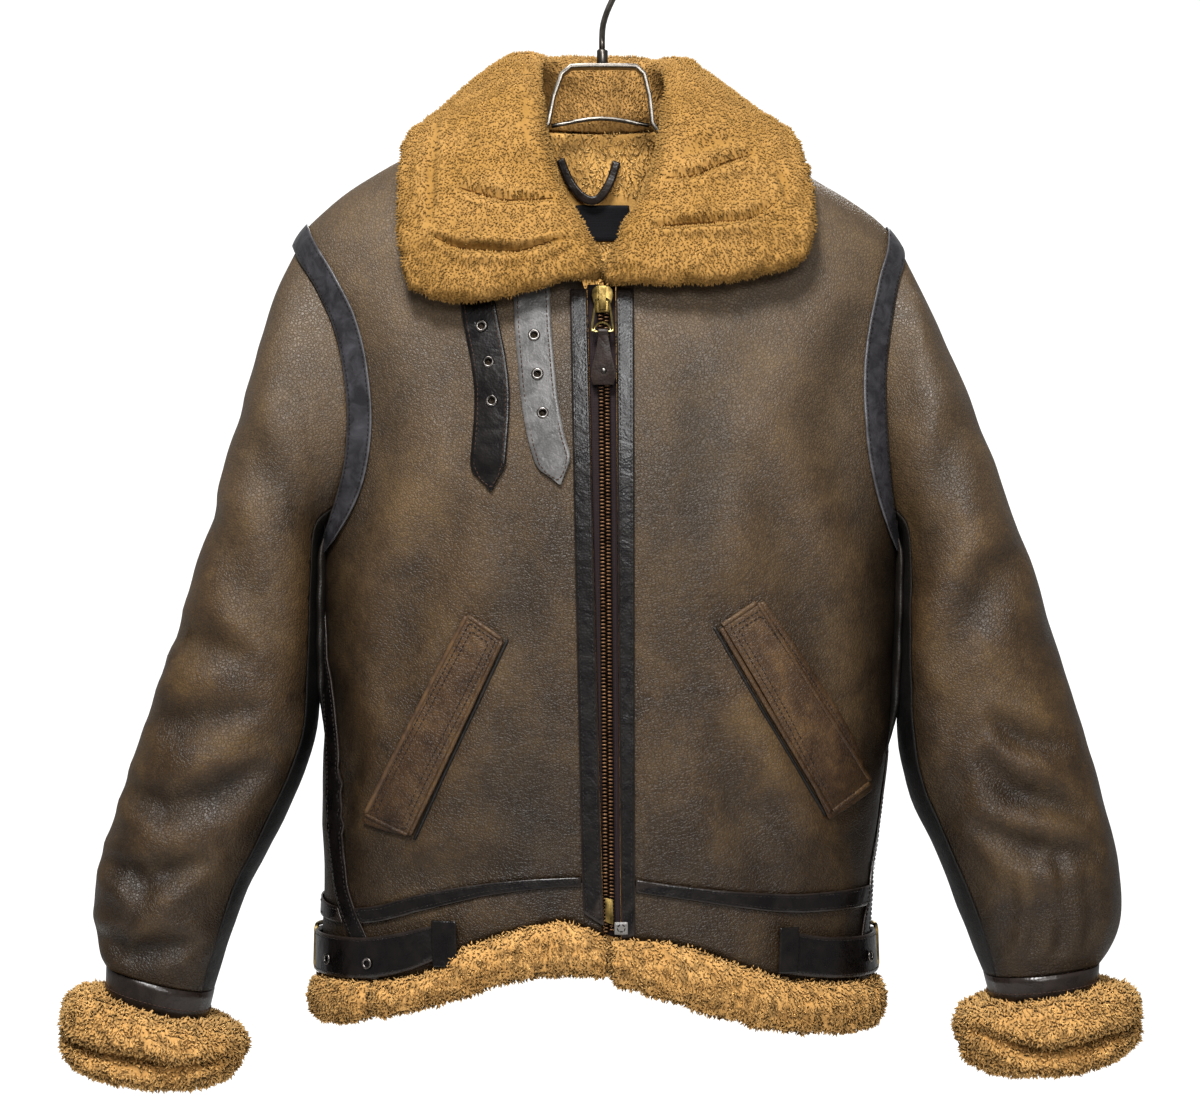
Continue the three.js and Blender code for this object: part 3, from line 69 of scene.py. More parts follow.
# The body's rings: level, half width, sideways middle, depth to the front and to the back
BODY_RINGS = np.array(
    [
        [-830, 206, -5, 98, 87],
        [-783, 205, -5, 98, 87],
        [-711, 204, -4.7, 97, 86],
        [-636, 208.5, -0.5, 96, 85],
        [-576, 211.5, 3.7, 95, 85],
        [-520, 213, 5.5, 95, 86],
        [-448, 213.6, 6, 96, 87],
        [-390, 215.3, 4, 95, 87],
        [-340, 220, 2, 91, 86],
        [-290, 225, 0, 85, 83],
        [-265, 228, -2, 80, 81],
        [-245, 229, -3, 75, 78],
        [-231, 223, -4, 71, 76],
        [-216, 210, -5, 66, 73],
        [-201, 190, -7.5, 61, 70],
        [-186, 166, -9, 56, 66],
        [-175, 150, -7, 53, 63],
        [-160, 122, -4, 50, 59],
        [-145, 92, -2, 48, 55],
        [-134, 73, 0, 47, 52],
        [-120, 52, 0, 44, 46],
    ],
    float,
)
RING_POWER = 2 / 0.909
HALF, MIDDLE, FRONT, BACK = 1, 2, 3, 4

# Middle line of each arm from the shoulder to the cuff, in x and z, with y forward of the middle
ARM_LINES = {
    "right": (
        (-225, -345, 0), (-245, -440, -3), (-270, -560, -7),
        (-305, -660, -13), (-330, -750, -18), (-332, -830, -18),
    ),
    "left": (
        (225, -345, 0), (250, -430, -3), (275, -550, -7),
        (305, -640, -13), (328, -735, -18), (330, -820, -18),
    ),
}

# The relief of a sleeve never goes further in or out than this
DEEPEST_FOLD = 6
# Creases drawn one by one: the piece they are on, its face, the line in x and z, how deep the trough
# is, its half width and the height of the soft ridge beside it
SLEEVE_FOLDS = (
    ("right", "front", ((-325, -522), (-295, -530), (-262, -540)), 4.2, 9, 3.0),
    ("right", "front", ((-338, -580), (-302, -588), (-258, -580)), 5.4, 10, 3.6),
    ("right", "front", ((-356, -636), (-318, -650), (-282, -642), (-252, -624)), 5.8, 9, 4.0),
    ("right", "front", ((-368, -690), (-330, -702), (-292, -690)), 6.0, 8, 4.0),
    ("right", "front", ((-374, -744), (-342, -756), (-300, -750)), 5.2, 8, 3.2),
    ("right", "front", ((-340, -698), (-335, -718), (-344, -740)), 2.8, 7, 1.4),
    ("right", "front", ((-356, -715), (-352, -735), (-356, -760)), 2.0, 6, 1.0),
    ("right", "front", ((-262, -370), (-238, -420), (-232, -490)), 4.4, 14, 2.8),
    ("right", "front", ((-296, -430), (-266, -466), (-240, -520)), 3.6, 12, 2.4),
    ("right", "back", ((-330, -560), (-296, -570), (-262, -565)), 5.0, 9, 3.2),
    ("right", "back", ((-352, -625), (-315, -634), (-276, -622)), 5.4, 9, 3.4),
    ("right", "back", ((-368, -690), (-330, -700), (-292, -690)), 5.4, 8, 3.4),
    ("right", "back", ((-372, -748), (-338, -757), (-300, -748)), 4.6, 7, 2.8),
    ("right", "back", ((-270, -400), (-245, -450), (-235, -500)), 4.0, 12, 2.4),
    ("left", "front", ((284, -586), (305, -602), (334, -606)), 5.2, 8, 3.2),
    ("left", "front", ((278, -616), (300, -640), (348, -654)), 6.0, 9, 4.0),
    ("left", "front", ((276, -664), (312, -680), (356, -686)), 5.4, 8, 3.4),
    ("left", "front", ((330, -688), (335, -716), (332, -752)), 3.4, 7, 1.8),
    ("left", "front", ((314, -698), (318, -722), (312, -752)), 2.6, 6, 1.4),
    ("left", "front", ((348, -698), (354, -722), (352, -750)), 2.8, 6, 1.5),
    ("left", "front", ((296, -706), (298, -728), (292, -752)), 2.0, 6, 1.1),
    ("left", "front", ((258, -370), (238, -430), (234, -486)), 4.4, 14, 2.8),
    ("left", "front", ((304, -460), (277, -496), (248, -545)), 4.0, 12, 2.4),
    ("left", "back", ((330, -540), (295, -552), (255, -548)), 5.0, 9, 3.2),
    ("left", "back", ((352, -610), (312, -622), (268, -612)), 5.4, 9, 3.4),
    ("left", "back", ((372, -680), (330, -690), (284, -680)), 5.4, 8, 3.4),
    ("left", "back", ((370, -742), (336, -752), (296, -744)), 4.6, 7, 2.8),
    ("left", "back", ((268, -400), (245, -450), (238, -500)), 4.0, 12, 2.4),
)
BODY_FOLDS = (
    ("front", ((-184, -296), (-166, -380), (-174, -458)), 3.4, 17, 2.4),
    ("front", ((-106, -424), (-126, -480), (-152, -562)), 2.8, 15, 1.8),
    ("front", ((-60, -450), (-58, -520), (-74, -600)), 2.0, 14, 1.4),
    ("front", ((-198, -560), (-187, -620), (-190, -694)), 2.8, 12, 1.8),
    ("front", ((-176, -620), (-188, -634), (-198, -640)), 2.8, 4.5, 1.8),
    ("front", ((-174, -638), (-187, -649), (-198, -653)), 2.2, 4, 1.4),
    ("front", ((-180, -656), (-190, -664), (-199, -667)), 1.8, 4, 1.2),
    ("front", ((-60, -690), (-98, -700), (-150, -696)), 2.0, 12, 1.4),
    ("front", ((-58, -530), (-82, -580), (-105, -628), (-126, -680)), -3.4, 11, 0.0),
    ("front", ((68, -520), (96, -570), (123, -615), (148, -662)), -3.4, 11, 0.0),
    ("front", ((186, -296), (166, -370), (178, -454)), 3.4, 17, 2.4),
    ("front", ((112, -396), (132, -470), (162, -562)), 2.8, 15, 1.8),
    ("front", ((60, -330), (74, -400), (70, -470)), 2.0, 15, 1.6),
    ("front", ((84, -596), (102, -660), (122, -708)), 2.6, 14, 1.8),
    ("front", ((194, -606), (184, -660), (191, -702)), 2.8, 11, 1.8),
    ("front", ((70, -636), (112, -650), (150, -640)), 1.6, 12, 1.2),
    ("back", ((-150, -250), (-120, -380), (-130, -520)), 3.4, 20, 2.4),
    ("back", ((150, -250), (124, -370), (136, -510)), 3.4, 20, 2.4),
    ("back", ((-90, -560), (-40, -600), (20, -596), (92, -566)), 3.2, 16, 2.2),
    ("back", ((-140, -640), (-70, -662), (10, -650)), 2.8, 13, 1.8),
    ("back", ((30, -650), (90, -668), (150, -644)), 2.8, 13, 1.8),
    ("back", ((-60, -300), (-10, -330), (50, -306)), 2.4, 16, 1.8),
)
# Sewn grooves and soft hollows in the wool of the collar, on its outer face, given as creases are
COLLAR_GROOVES = (
    (((-122, -150), (-125, -190), (-124, -232)), 3.0, 3.0, 1.4),
    (((-121, -239), (-103, -247), (-62, -250), (-32, -241)), 6.0, 2.6, 2.6),
    (((-104, -202), (-88, -207), (-68, -212), (-36, -211)), 6.5, 2.6, 2.8),
    (((-58, -126), (-56, -145), (-55, -168)), 2.4, 5, 0.8),
    (((45, -196), (66, -193), (85, -184), (108, -176)), 6.5, 2.6, 2.8),
    (((54, -178), (72, -172), (96, -165)), 2.6, 5, 1.4),
    (((40, -232), (60, -230), (104, -226), (124, -214)), 6.0, 2.6, 2.6),
    (((128, -188), (131, -198), (132, -210)), 3.4, 3.4, 1.4),
)
# The fold in the wool of each cuff: its line, then its depth, half width and ridge
CUFF_GROOVES = {
    "right": ((-395, -822), (-368, -829), (-330, -834), (-314, -840), (-282, -836)),
    "left": ((270, -815), (318, -828), (350, -822), (390, -812)),
}
CUFF_GROOVE_SHAPE = (11, 5.0, 3.0)

# How thick a strap of the collar is, and the gap between it and the body
STRAP_THICK = 2.4
REST_GAP = 0.7
# Middle lines of the two straps under the collar: x, z and half width
COLLAR_STRAPS = {
    "outer": (
        (-93, -262, 12.5), (-90, -285, 12.5), (-86.5, -305, 12.6), (-82, -327, 12.6),
        (-79.5, -347, 12.6), (-79.5, -366, 12.6), (-80.8, -386, 12.6), (-82, -402, 12.6),
        (-81.4, -408, 10.6), (-80.6, -415, 4.8), (-79.8, -421.5, 0.6),
    ),
    "inner": (
        (-52, -262, 13), (-51, -285, 13), (-50, -305, 13), (-48.3, -325, 13),
        (-46.6, -345, 13), (-43.8, -366, 13), (-40, -385, 13), (-36, -398, 13),
        (-34.2, -404, 11), (-32.2, -411, 5), (-30.6, -417, 0.6),
    ),
}
COLLAR_STRAP_EYELETS = {
    "outer": ((-86.9, -303), (-81.8, -329), (-79.4, -357)),
    "inner": ((-49.3, -310), (-46.8, -338), (-43, -366)),
}
HEM_STRAP_EYELETS = {"right": ((-198, -764), (-168, -763)), "left": ((192, -763),)}
# Level of the upper side of a hem strap over the body
HEM_STRAP_TOP = 6.1
# An eyelet's rim: its outer and inner radius and its height, and the radius of the hole under it
EYELET_OUTER, EYELET_INNER, EYELET_HIGH = 4.5, 2.2, 1.1
EYELET_HOLE = 2.3

# How far in from the edge the stitches run: on tapes, on the straps of the collar, on the welts
TAPE_SEAM = 2.4
STRAP_SEAM = 2.6
WELT_SEAMS = (4.4, 8.4)

# The zip's middle line leans to the left on its way down, from its top to its foot
ZIP_TOP, ZIP_FOOT, ZIP_LEAN = -270, -719, 4
# Where the zip's teeth start and end, and how far off the body they lie
TEETH_TOP, TEETH_FOOT, TEETH_LEVEL = -294.5, -737, 1.7

# Middle lines of the pocket welts in x and z. The leather round them lies flat
WELT_MIDDLES = {"right": ((-84, -518), (-156, -665)), "left": ((97, -509), (180, -644))}
WELT_LEATHER = "Dyed sheepskin welt"
# Rolled rims of the pocket welts, and in each pocket's mouth a near-black strip of painted shadow: name,
# level, half width, finish, and line in x and z
WELT_RIMS = {
    "right": (
        ("outer_rim", "top", 1.5, "Raw edge",
         ((-97.5, -511), (-122, -558), (-147, -607), (-171, -655))),
        ("low_rim", "top", 1.5, WELT_LEATHER,
         ((-171, -656), (-155, -663), (-140.5, -669))),
        ("top_rim", "top", 1.6, WELT_LEATHER,
         ((-95.5, -511.5), (-84, -519.5), (-73, -527))),
        ("inner_rim", "top", 1.6, WELT_LEATHER,
         ((-72.5, -529), (-94, -575), (-116, -622), (-138.5, -669))),
        ("mouth", "low", 1.2, "Dark sheepskin",
         ((-68.5, -528), (-90.5, -575), (-112.5, -622), (-135.5, -672))),
    ),
    "left": (
        ("outer_rim", "top", 1.7, WELT_LEATHER,
         ((110.5, -501.5), (138, -545), (166, -589), (194.5, -632.5))),
        ("low_rim", "top", 1.6, WELT_LEATHER,
         ((193.5, -634.5), (180, -643.5), (165.5, -653))),
        ("top_rim", "top", 1.8, WELT_LEATHER,
         ((109, -501.5), (97, -509.5), (85, -517.5))),
        ("inner_rim", "top", 1.8, WELT_LEATHER,
         ((84, -519.5), (110, -564), (137, -609), (163.5, -653.5))),
        ("mouth", "low", 1.2, "Dark sheepskin",
         ((79.5, -519), (106, -565), (133, -610), (160, -655.5))),
    ),
}
# The rims lie this far below the welt's top, and the pocket's mouth this far off the body
RIM_SINK = 0.5
MOUTH_LEVEL = 0.3
# Stitched tabs that hold the inner ends of the hem straps: their level, then x, z and half width
KEEPER_LEVEL = 6.2
KEEPERS = {
    "right": ((-112, -729, 8.6), (-112, -740, 8.8), (-111.5, -751, 8.8), (-111, -762, 8.6)),
    "left": ((131, -735, 6.6), (131, -746, 6.8), (130.5, -757, 6.8), (130, -768, 6.6)),
}

# The wool of the lining that shows in the neck, and the label that lies on it: half width and levels
NECK_HALF, NECK_TOP, NECK_LOW = 120, -141, -330
LABEL_HALF, LABEL_TOP, LABEL_LOW = 24, -191, -226
# Points of the back that lie deeper in the body than this are on its inner face
INNER_FACE = -6.5
# Curls stand on the cuff from this far off its middle line, and not on its bore
CUFF_BORE = 34
CUFF_MIDDLE_Y = -18

# Half the width of the zip with its facings, and of a pocket welt, round which the leather lies flat
ZIP_FACING = 26
WELT_CALM = 17
# The leather under the straps of the collar lies flat too: its sides in x and its lowest level
STRAPS_RIGHT, STRAPS_LEFT, STRAPS_LOW = -108, -15, -425

# Patches painted darker on the front, one of them the straps' painted shadow, and one painted lighter:
# middle x and z on the front, reach, amount
PAINTED_PATCHES = (
    (-45, -492, 42, 5.0),
    (-109, -471, 30, -2.5),
    (-31, -378, 30, 3.0),
    (-57, -628, 40, 6.5),
    (66, -392, 44, 5.0),
    (62, -492, 40, 4.5),
    (169, -499, 28, 3.0),
    (-45, -690, 34, 4.0),
    (52, -699, 34, 4.0),
    (-166, -690, 28, 4.0),
)
# Painted shade on the sides of the body: where it starts, in x from its middle and down from the hook,
# how soon it is full, and how dark it is, in the millimetres that folds use
SIDE_STARTS, SIDE_REACH = 168, 36
UNDERARM, UNDERARM_REACH = 330, 110
SIDE_SHADE = 10
# How dark the painted shade is on the side of a sleeve that lies towards the body
SLEEVE_SHADE = 11

# The stage, in metres: the floor's level and half width, the camera, and what the lamps point at
FLOOR_LEVEL, FLOOR_HALF = -1.25, 1.1
CAMERA_PLACE = (-0.00225, -2.0, -0.4676)
CAMERA_LENS = 80
LIT_PLACE = (0, 0, -0.45)
# Lamps: name, place, width in metres and power in watts
LAMPS = (
    ("key_light", (-0.35, -1.8, 1.5), 0.7, 140),
    ("fill_light", (0.3, -2.4, 0.3), 0.8, 42),
    ("back_light", (0.3, 2.2, 1.3), 1.2, 34),
)


def linear(colour):
    """An sRGB hex colour as a linear one with alpha. A colour that is linear already stays."""
    if not isinstance(colour, str):
        return tuple(colour)
    parts = [int(colour[i : i + 2], 16) / 255 for i in (1, 3, 5)]
    return tuple(c / 12.92 if c <= 0.04045 else ((c + 0.055) / 1.055) ** 2.4 for c in parts) + (1.0,)


def node(tree, kind, inputs=None, stops=None, **settings):
    """Adds a node. Its inputs are values or the outputs of other nodes, by name or number."""
    made = tree.nodes.new(kind)
    for name, value in settings.items():
        setattr(made, name, value)
    for key, value in (inputs or {}).items():
        if isinstance(value, bpy.types.NodeSocket):
            tree.links.new(value, made.inputs[key])
        else:
            made.inputs[key].default_value = value
    for i, (place, colour) in enumerate(stops or ()):
        ramp = made.color_ramp
        stop = ramp.elements[i] if i < 2 else ramp.elements.new(place)
        stop.position = place
        stop.color = linear(colour)
    return made


def read(rows, column, at):
    """A column's value on the smooth curve through a table's rows."""
    x = rows[:, 0]
    y = rows[:, column]
    at = np.clip(at, x[0], x[-1])
    i = np.clip(np.searchsorted(x, at) - 1, 0, len(x) - 2)
    gap = np.diff(x)
    slope = np.diff(y) / gap
    inner = (slope[:-1] * gap[1:] + slope[1:] * gap[:-1]) / (gap[1:] + gap[:-1])
    tangent = np.concatenate([slope[:1], inner, slope[-1:]])
    t = (at - x[i]) / gap[i]
    return (
        (2 * t**3 - 3 * t**2 + 1) * y[i]
        + (t**3 - 2 * t**2 + t) * gap[i] * tangent[i]
        + (3 * t**2 - 2 * t**3) * y[i + 1]
        + (t**3 - t**2) * gap[i] * tangent[i + 1]
    )


def body_field(points):
    """Below 0 inside the body's surface and above 0 outside it."""
    z = points[:, 2]
    half = read(BODY_RINGS, HALF, z)
    middle = read(BODY_RINGS, MIDDLE, z)
    depth = np.where(points[:, 1] < 0, read(BODY_RINGS, FRONT, z), read(BODY_RINGS, BACK, z))
    across = np.abs((points[:, 0] - middle) / half) ** RING_POWER
    total = across + np.abs(points[:, 1] / depth) ** RING_POWER
    return total ** (1 / RING_POWER) - 1


def body_slope(points):
    """The body field's slope, which points out of the body."""
    step = 0.5
    here = body_field(points)
    parts = [body_field(points + step * np.eye(3)[axis]) - here for axis in range(3)]
    return np.stack(parts, 1) / step


def outward(points):
    """The way straight out of the body at points."""
    slope = body_slope(points)
    return slope / np.linalg.norm(slope, axis=1, keepdims=True)


def distance_out(points):
    """Distance of points from the body's surface."""
    return body_field(points) / np.linalg.norm(body_slope(points), axis=1)


def settle(points, distance):
    """Moves points square to the body until they are the given distance from its surface."""
    for _ in range(4):
        slope = body_slope(points)
        steep = np.linalg.norm(slope, axis=1)
        missing = distance - body_field(points) / steep
        points = points + slope / steep[:, None] * missing[:, None]
    return points


def lay(x, z, out):
    """Points on the front of the body by x and z, at a distance out."""
    x = np.asarray(x, float)
    z = np.asarray(z, float)
    share = np.clip(np.abs((x - read(BODY_RINGS, MIDDLE, z)) / read(BODY_RINGS, HALF, z)), 0, 0.999)
    y = -read(BODY_RINGS, FRONT, z) * (1 - share**RING_POWER) ** (1 / RING_POWER)
    return settle(np.stack([x, y, z], 1), np.asarray(out, float) * np.ones(len(x)))


def distance_to_line(x, z, line):
    """Distance of places from a line of x and z points, and how far along it the nearest is."""
    best = np.full(len(x), 1e9)
    along = np.zeros(len(x))
    count = len(line) - 1
    for i in range(count):
        ax, az = line[i]
        bx, bz = line[i + 1]
        dx, dz = bx - ax, bz - az
        t = np.clip(((x - ax) * dx + (z - az) * dz) / (dx * dx + dz * dz), 0, 1)
        away = np.hypot(x - ax - t * dx, z - az - t * dz)
        along = np.where(away < best, (i + t) / count, along)
        best = np.minimum(best, away)
    return best, along


def fold(x, z, line, depth, half, ridge):
    """A soft trough along a line, with a ridge on both sides. It fades at its ends."""
    away, along = distance_to_line(x, z, line)
    fade = np.sin(np.pi * np.clip(along * 0.86 + 0.07, 0, 1)) ** 0.6
    wide = half * (0.7 + 0.5 * np.sin(np.pi * along))
    trough = np.exp(-((away / wide) ** 2))
    shoulder = np.exp(-(((away - 2.1 * wide) / (1.1 * wide)) ** 2))
    return fade * (ridge * shoulder - depth * trough)


def waves(points, size, seed, octaves=2):
    """Smooth noise, about -1 to 1, whose lumps are as wide as the size in millimetres."""
    shift = Vector((seed * 13.1, seed * 7.7, seed * 3.3))
    scaled = points / size
    return np.array([noise.fractal(Vector(p) + shift, 1.0, 2.0, octaves) for p in scaled])


def patch_shade(points):
    """How much the fronts are painted darker in patches, and lighter in one, some of it painted shadow,
    in the millimetres that folds use.
    """
    x, y, z = points.T
    total = np.zeros(len(x))
    for middle_x, middle_z, reach, amount in PAINTED_PATCHES:
        away = np.hypot(x - middle_x, (z - middle_z) * 0.7)
        total += amount * np.exp(-((away / reach) ** 2))
    return np.where(y < 0, total, 0)


def body_relief(points):
    """Folds of the fronts and the back, in millimetres out. The zip's neighbourhood stays flat."""
    x, y, z = points.T
    front = y < 0
    total = np.zeros(len(x))
    for face, line, depth, half, ridge in BODY_FOLDS:
        total += np.where(front == (face == "front"), fold(x, z, line, depth, half, ridge), 0)
    lumps = waves(points, 70, 3) * 1.6
    beside_zip = np.clip((np.abs(x) - ZIP_FACING) / 30, 0, 1)
    calm = np.where(front, beside_zip, 1)
    for side in SIDES:
        away, _ = distance_to_line(x, z, WELT_MIDDLES[side])
        calm = calm * np.where(front, np.clip((away - WELT_CALM) / 10, 0.1, 1), 1)
    # The leather lies flat under the straps of the collar, and round the neck
    under_straps = front & (x < STRAPS_LEFT) & (x > STRAPS_RIGHT) & (z > STRAPS_LOW)
    straps = np.where(under_straps, 0.0, 1.0)
    top = np.clip((-150 - z) / 60, 0, 1)
    return (total + lumps) * calm * straps * top


def copy_of(source):
    """A CAD node's shape as a bmesh with shared corners and its triangles paired to quads."""
    shape = bmesh.new()
    shape.from_mesh(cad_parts[source].data)
    bmesh.ops.remove_doubles(shape, verts=shape.verts, dist=WELD * MM)
    bmesh.ops.join_triangles(
        shape,
        faces=shape.faces,
        angle_face_threshold=PAIRED_WITHIN,
        angle_shape_threshold=PAIRED_WITHIN,
    )
    return shape


def mesh_of(shape, name):
    """A bmesh's shape as a mesh. The bmesh is freed."""
    mesh = bpy.data.meshes.new(name)
    shape.to_mesh(mesh)
    shape.free()
    return mesh


def join_rings(shape, rings):
    """Joins rings of corners to a closed skin, with a cap at both ends and its faces outwards."""
    for low, high in zip(rings[:-1], rings[1:]):
        for c in range(len(low)):
            d = (c + 1) % len(low)
            shape.faces.new((low[c], low[d], high[d], high[c]))
    shape.faces.new(rings[0])
    shape.faces.new(rings[-1][::-1])
    bmesh.ops.recalc_face_normals(shape, faces=shape.faces)


def show(name, mesh):
    """Links a mesh as a piece at the origin."""
    piece = bpy.data.objects.new(name, mesh)
    bpy.context.scene.collection.objects.link(piece)
    return piece


def applied(piece):
    """Gives the piece its modifiers' result as a plain mesh and removes them."""
    bpy.context.view_layer.update()
    result = bpy.data.meshes.new_from_object(piece.evaluated_get(bpy.context.evaluated_depsgraph_get()))
    old = piece.data
    piece.modifiers.clear()
    piece.data = result
    result.name = piece.name
    if old.users == 0:
        bpy.data.meshes.remove(old)
    return piece


def places(mesh):
    """A mesh's points in millimetres."""
    found = np.zeros(len(mesh.vertices) * 3)
    mesh.vertices.foreach_get("co", found)
    return found.reshape(-1, 3) / MM


def facings(mesh):
    """The way that a mesh faces at each of its points."""
    found = np.zeros(len(mesh.vertices) * 3)
    mesh.vertices.foreach_get("normal", found)
    return found.reshape(-1, 3)


def move_to(mesh, points):
    """Moves a mesh's points to places in millimetres."""
    mesh.vertices.foreach_set("co", (points * MM).astype(np.float32).ravel())
    mesh.update()


def store(mesh, name, values):
    """Keeps a value for each point of a mesh."""
    kept = mesh.attributes.get(name) or mesh.attributes.new(name, "FLOAT", "POINT")
    kept.data.foreach_set("value", np.asarray(values, np.float32))


def stored(mesh, name):
    """The value that was kept for each point of a mesh."""
    values = np.zeros(len(mesh.vertices), np.float32)
    mesh.attributes[name].data.foreach_get("value", values)
    return values.astype(float)


def arm_axis(points, side):
    """The nearest points of an arm's middle line."""
    line = np.array([(x, y, z) for x, z, y in ARM_LINES[side]], float)
    best = np.full(len(points), 1e9)
    found = np.zeros_like(points)
    for start, end in zip(line[:-1], line[1:]):
        way = end - start
        t = np.clip((points - start) @ way / (way @ way), 0, 1)
        near = start + t[:, None] * way
        away = np.linalg.norm(points - near, axis=1)
        found = np.where((away < best)[:, None], near, found)
        best = np.minimum(best, away)
    return found


def refine(piece, level):
    """Subdivides a piece's faces once its modifiers are applied."""
    finer = piece.modifiers.new("finer", "SUBSURF")
    finer.levels = level
    finer.render_levels = level


def softened(name, source, level, crease):
    """A finer copy of a CAD node: its faces are subdivided, its sharp edges are kept by the crease."""
    shape = copy_of(source)
    layer = shape.edges.layers.float.new("crease_edge")
    edge = shape.verts.layers.float.new("edge")
    for line in shape.edges:
        if len(line.link_faces) == 2 and line.calc_face_angle(0) > SHARP_EDGE:
            line[layer] = crease
            for corner in line.verts:
                corner[edge] = 1
    piece = show(name, mesh_of(shape, name))
    refine(piece, level)
    return piece


def smooth(mesh):
    """Shades a mesh's faces smooth."""
    mesh.polygons.foreach_set("use_smooth", np.ones(len(mesh.polygons), bool))


def paint(piece, *materials):
    """Gives a piece its materials by name, in the order of its slots."""
    piece.data.materials.clear()
    for name in materials:
        piece.data.materials.append(bpy.data.materials[name])


def assign(mesh, values, limit=0.5):
    """Faces whose points' mean value is over the limit take the second material."""
    corner = np.zeros(len(mesh.loops), int)
    mesh.loops.foreach_get("vertex_index", corner)
    start = np.zeros(len(mesh.polygons), int)
    mesh.polygons.foreach_get("loop_start", start)
    mean = np.add.reduceat(values[corner], start) / np.diff(np.append(start, len(corner)))
    mesh.polygons.foreach_set("material_index", (mean > limit).astype(np.int32))
    mesh.update()


def finish_piece(piece, slot, *nodes, body=COAT):
    """Tells the frame which body a piece rides on and which nodes it replaces. Its slot is not used."""
    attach(piece, body)
    if nodes:
        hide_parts(*nodes)
    return piece


def dress(piece, material, slot, *nodes, body=COAT):
    """Smooths and paints a piece that is all of one material, and finishes it."""
    smooth(piece.data)
    paint(piece, material)
    return finish_piece(piece, slot, *nodes, body=body)


def on_body(name, source, level, crease, slot, material, lining=None):
    """A piece of the body or laid on it, from its CAD node, with the body's folds."""
    piece = softened(name, source, level, crease)
    store(piece.data, "out", distance_out(places(piece.data)))
    applied(piece)
    points = places(piece.data)
    relief = body_relief(points)
    move_to(piece.data, settle(points, stored(piece.data, "out") + relief))
    x, _, z = points.T
    # Painted shade on the sides of the body, from the armholes down
    out_to_side = np.abs(x - read(BODY_RINGS, MIDDLE, z))
    at_side = np.clip((out_to_side - SIDE_STARTS) / SIDE_REACH, 0, 1)
    below_arm = np.clip((-z - UNDERARM) / UNDERARM_REACH, 0, 1)
    side_shade = SIDE_SHADE * at_side * below_arm
    # The fold value holds the relief, the painted side shade and the painted patches, and the leather's
    # colour reads it
    store(piece.data, "fold", relief - side_shade - patch_shade(points))
    smooth(piece.data)
    paint(piece, material, *([lining] if lining else []))
    if lining:
        assign(piece.data, -stored(piece.data, "out"), 2.0)
    return finish_piece(piece, slot, source)


def tree_with(name, sockets):
    """A geometry node tree with a geometry input and output, and the named inputs."""
    tree = bpy.data.node_groups.new(name, "GeometryNodeTree")
    tree.interface.new_socket("Geometry", in_out="INPUT", socket_type="NodeSocketGeometry")
    tree.interface.new_socket("Geometry", in_out="OUTPUT", socket_type="NodeSocketGeometry")
    for label, kind in sockets:
        tree.interface.new_socket(label, in_out="INPUT", socket_type=kind)
    return tree


def end_tree(tree, instances, material):
    """Makes the instances real, gives them their material and ends the tree."""
    real = node(tree, "GeometryNodeRealizeInstances", {"Geometry": instances})
    shaded = node(tree, "GeometryNodeSetShadeSmooth", {"Geometry": real.outputs[0], "Shade Smooth": True})
    painted = node(tree, "GeometryNodeSetMaterial", {"Geometry": shaded.outputs[0], "Material": material})
    node(tree, "NodeGroupOutput", {"Geometry": painted.outputs[0]})


def grown(name, base, tree, values):
    """The result of a tree on a copy of a mesh, as a piece of its own."""
    piece = show(name, base.copy())
    modifier = piece.modifiers.new("grow", "NODES")
    modifier.node_group = tree
    for item in tree.interface.items_tree:
        if item.in_out == "INPUT" and item.name in values:
            modifier[item.identifier] = values[item.name]
    applied(piece)
    if not piece.data.polygons:
        raise RuntimeError(f"{name} came out empty")
    return piece


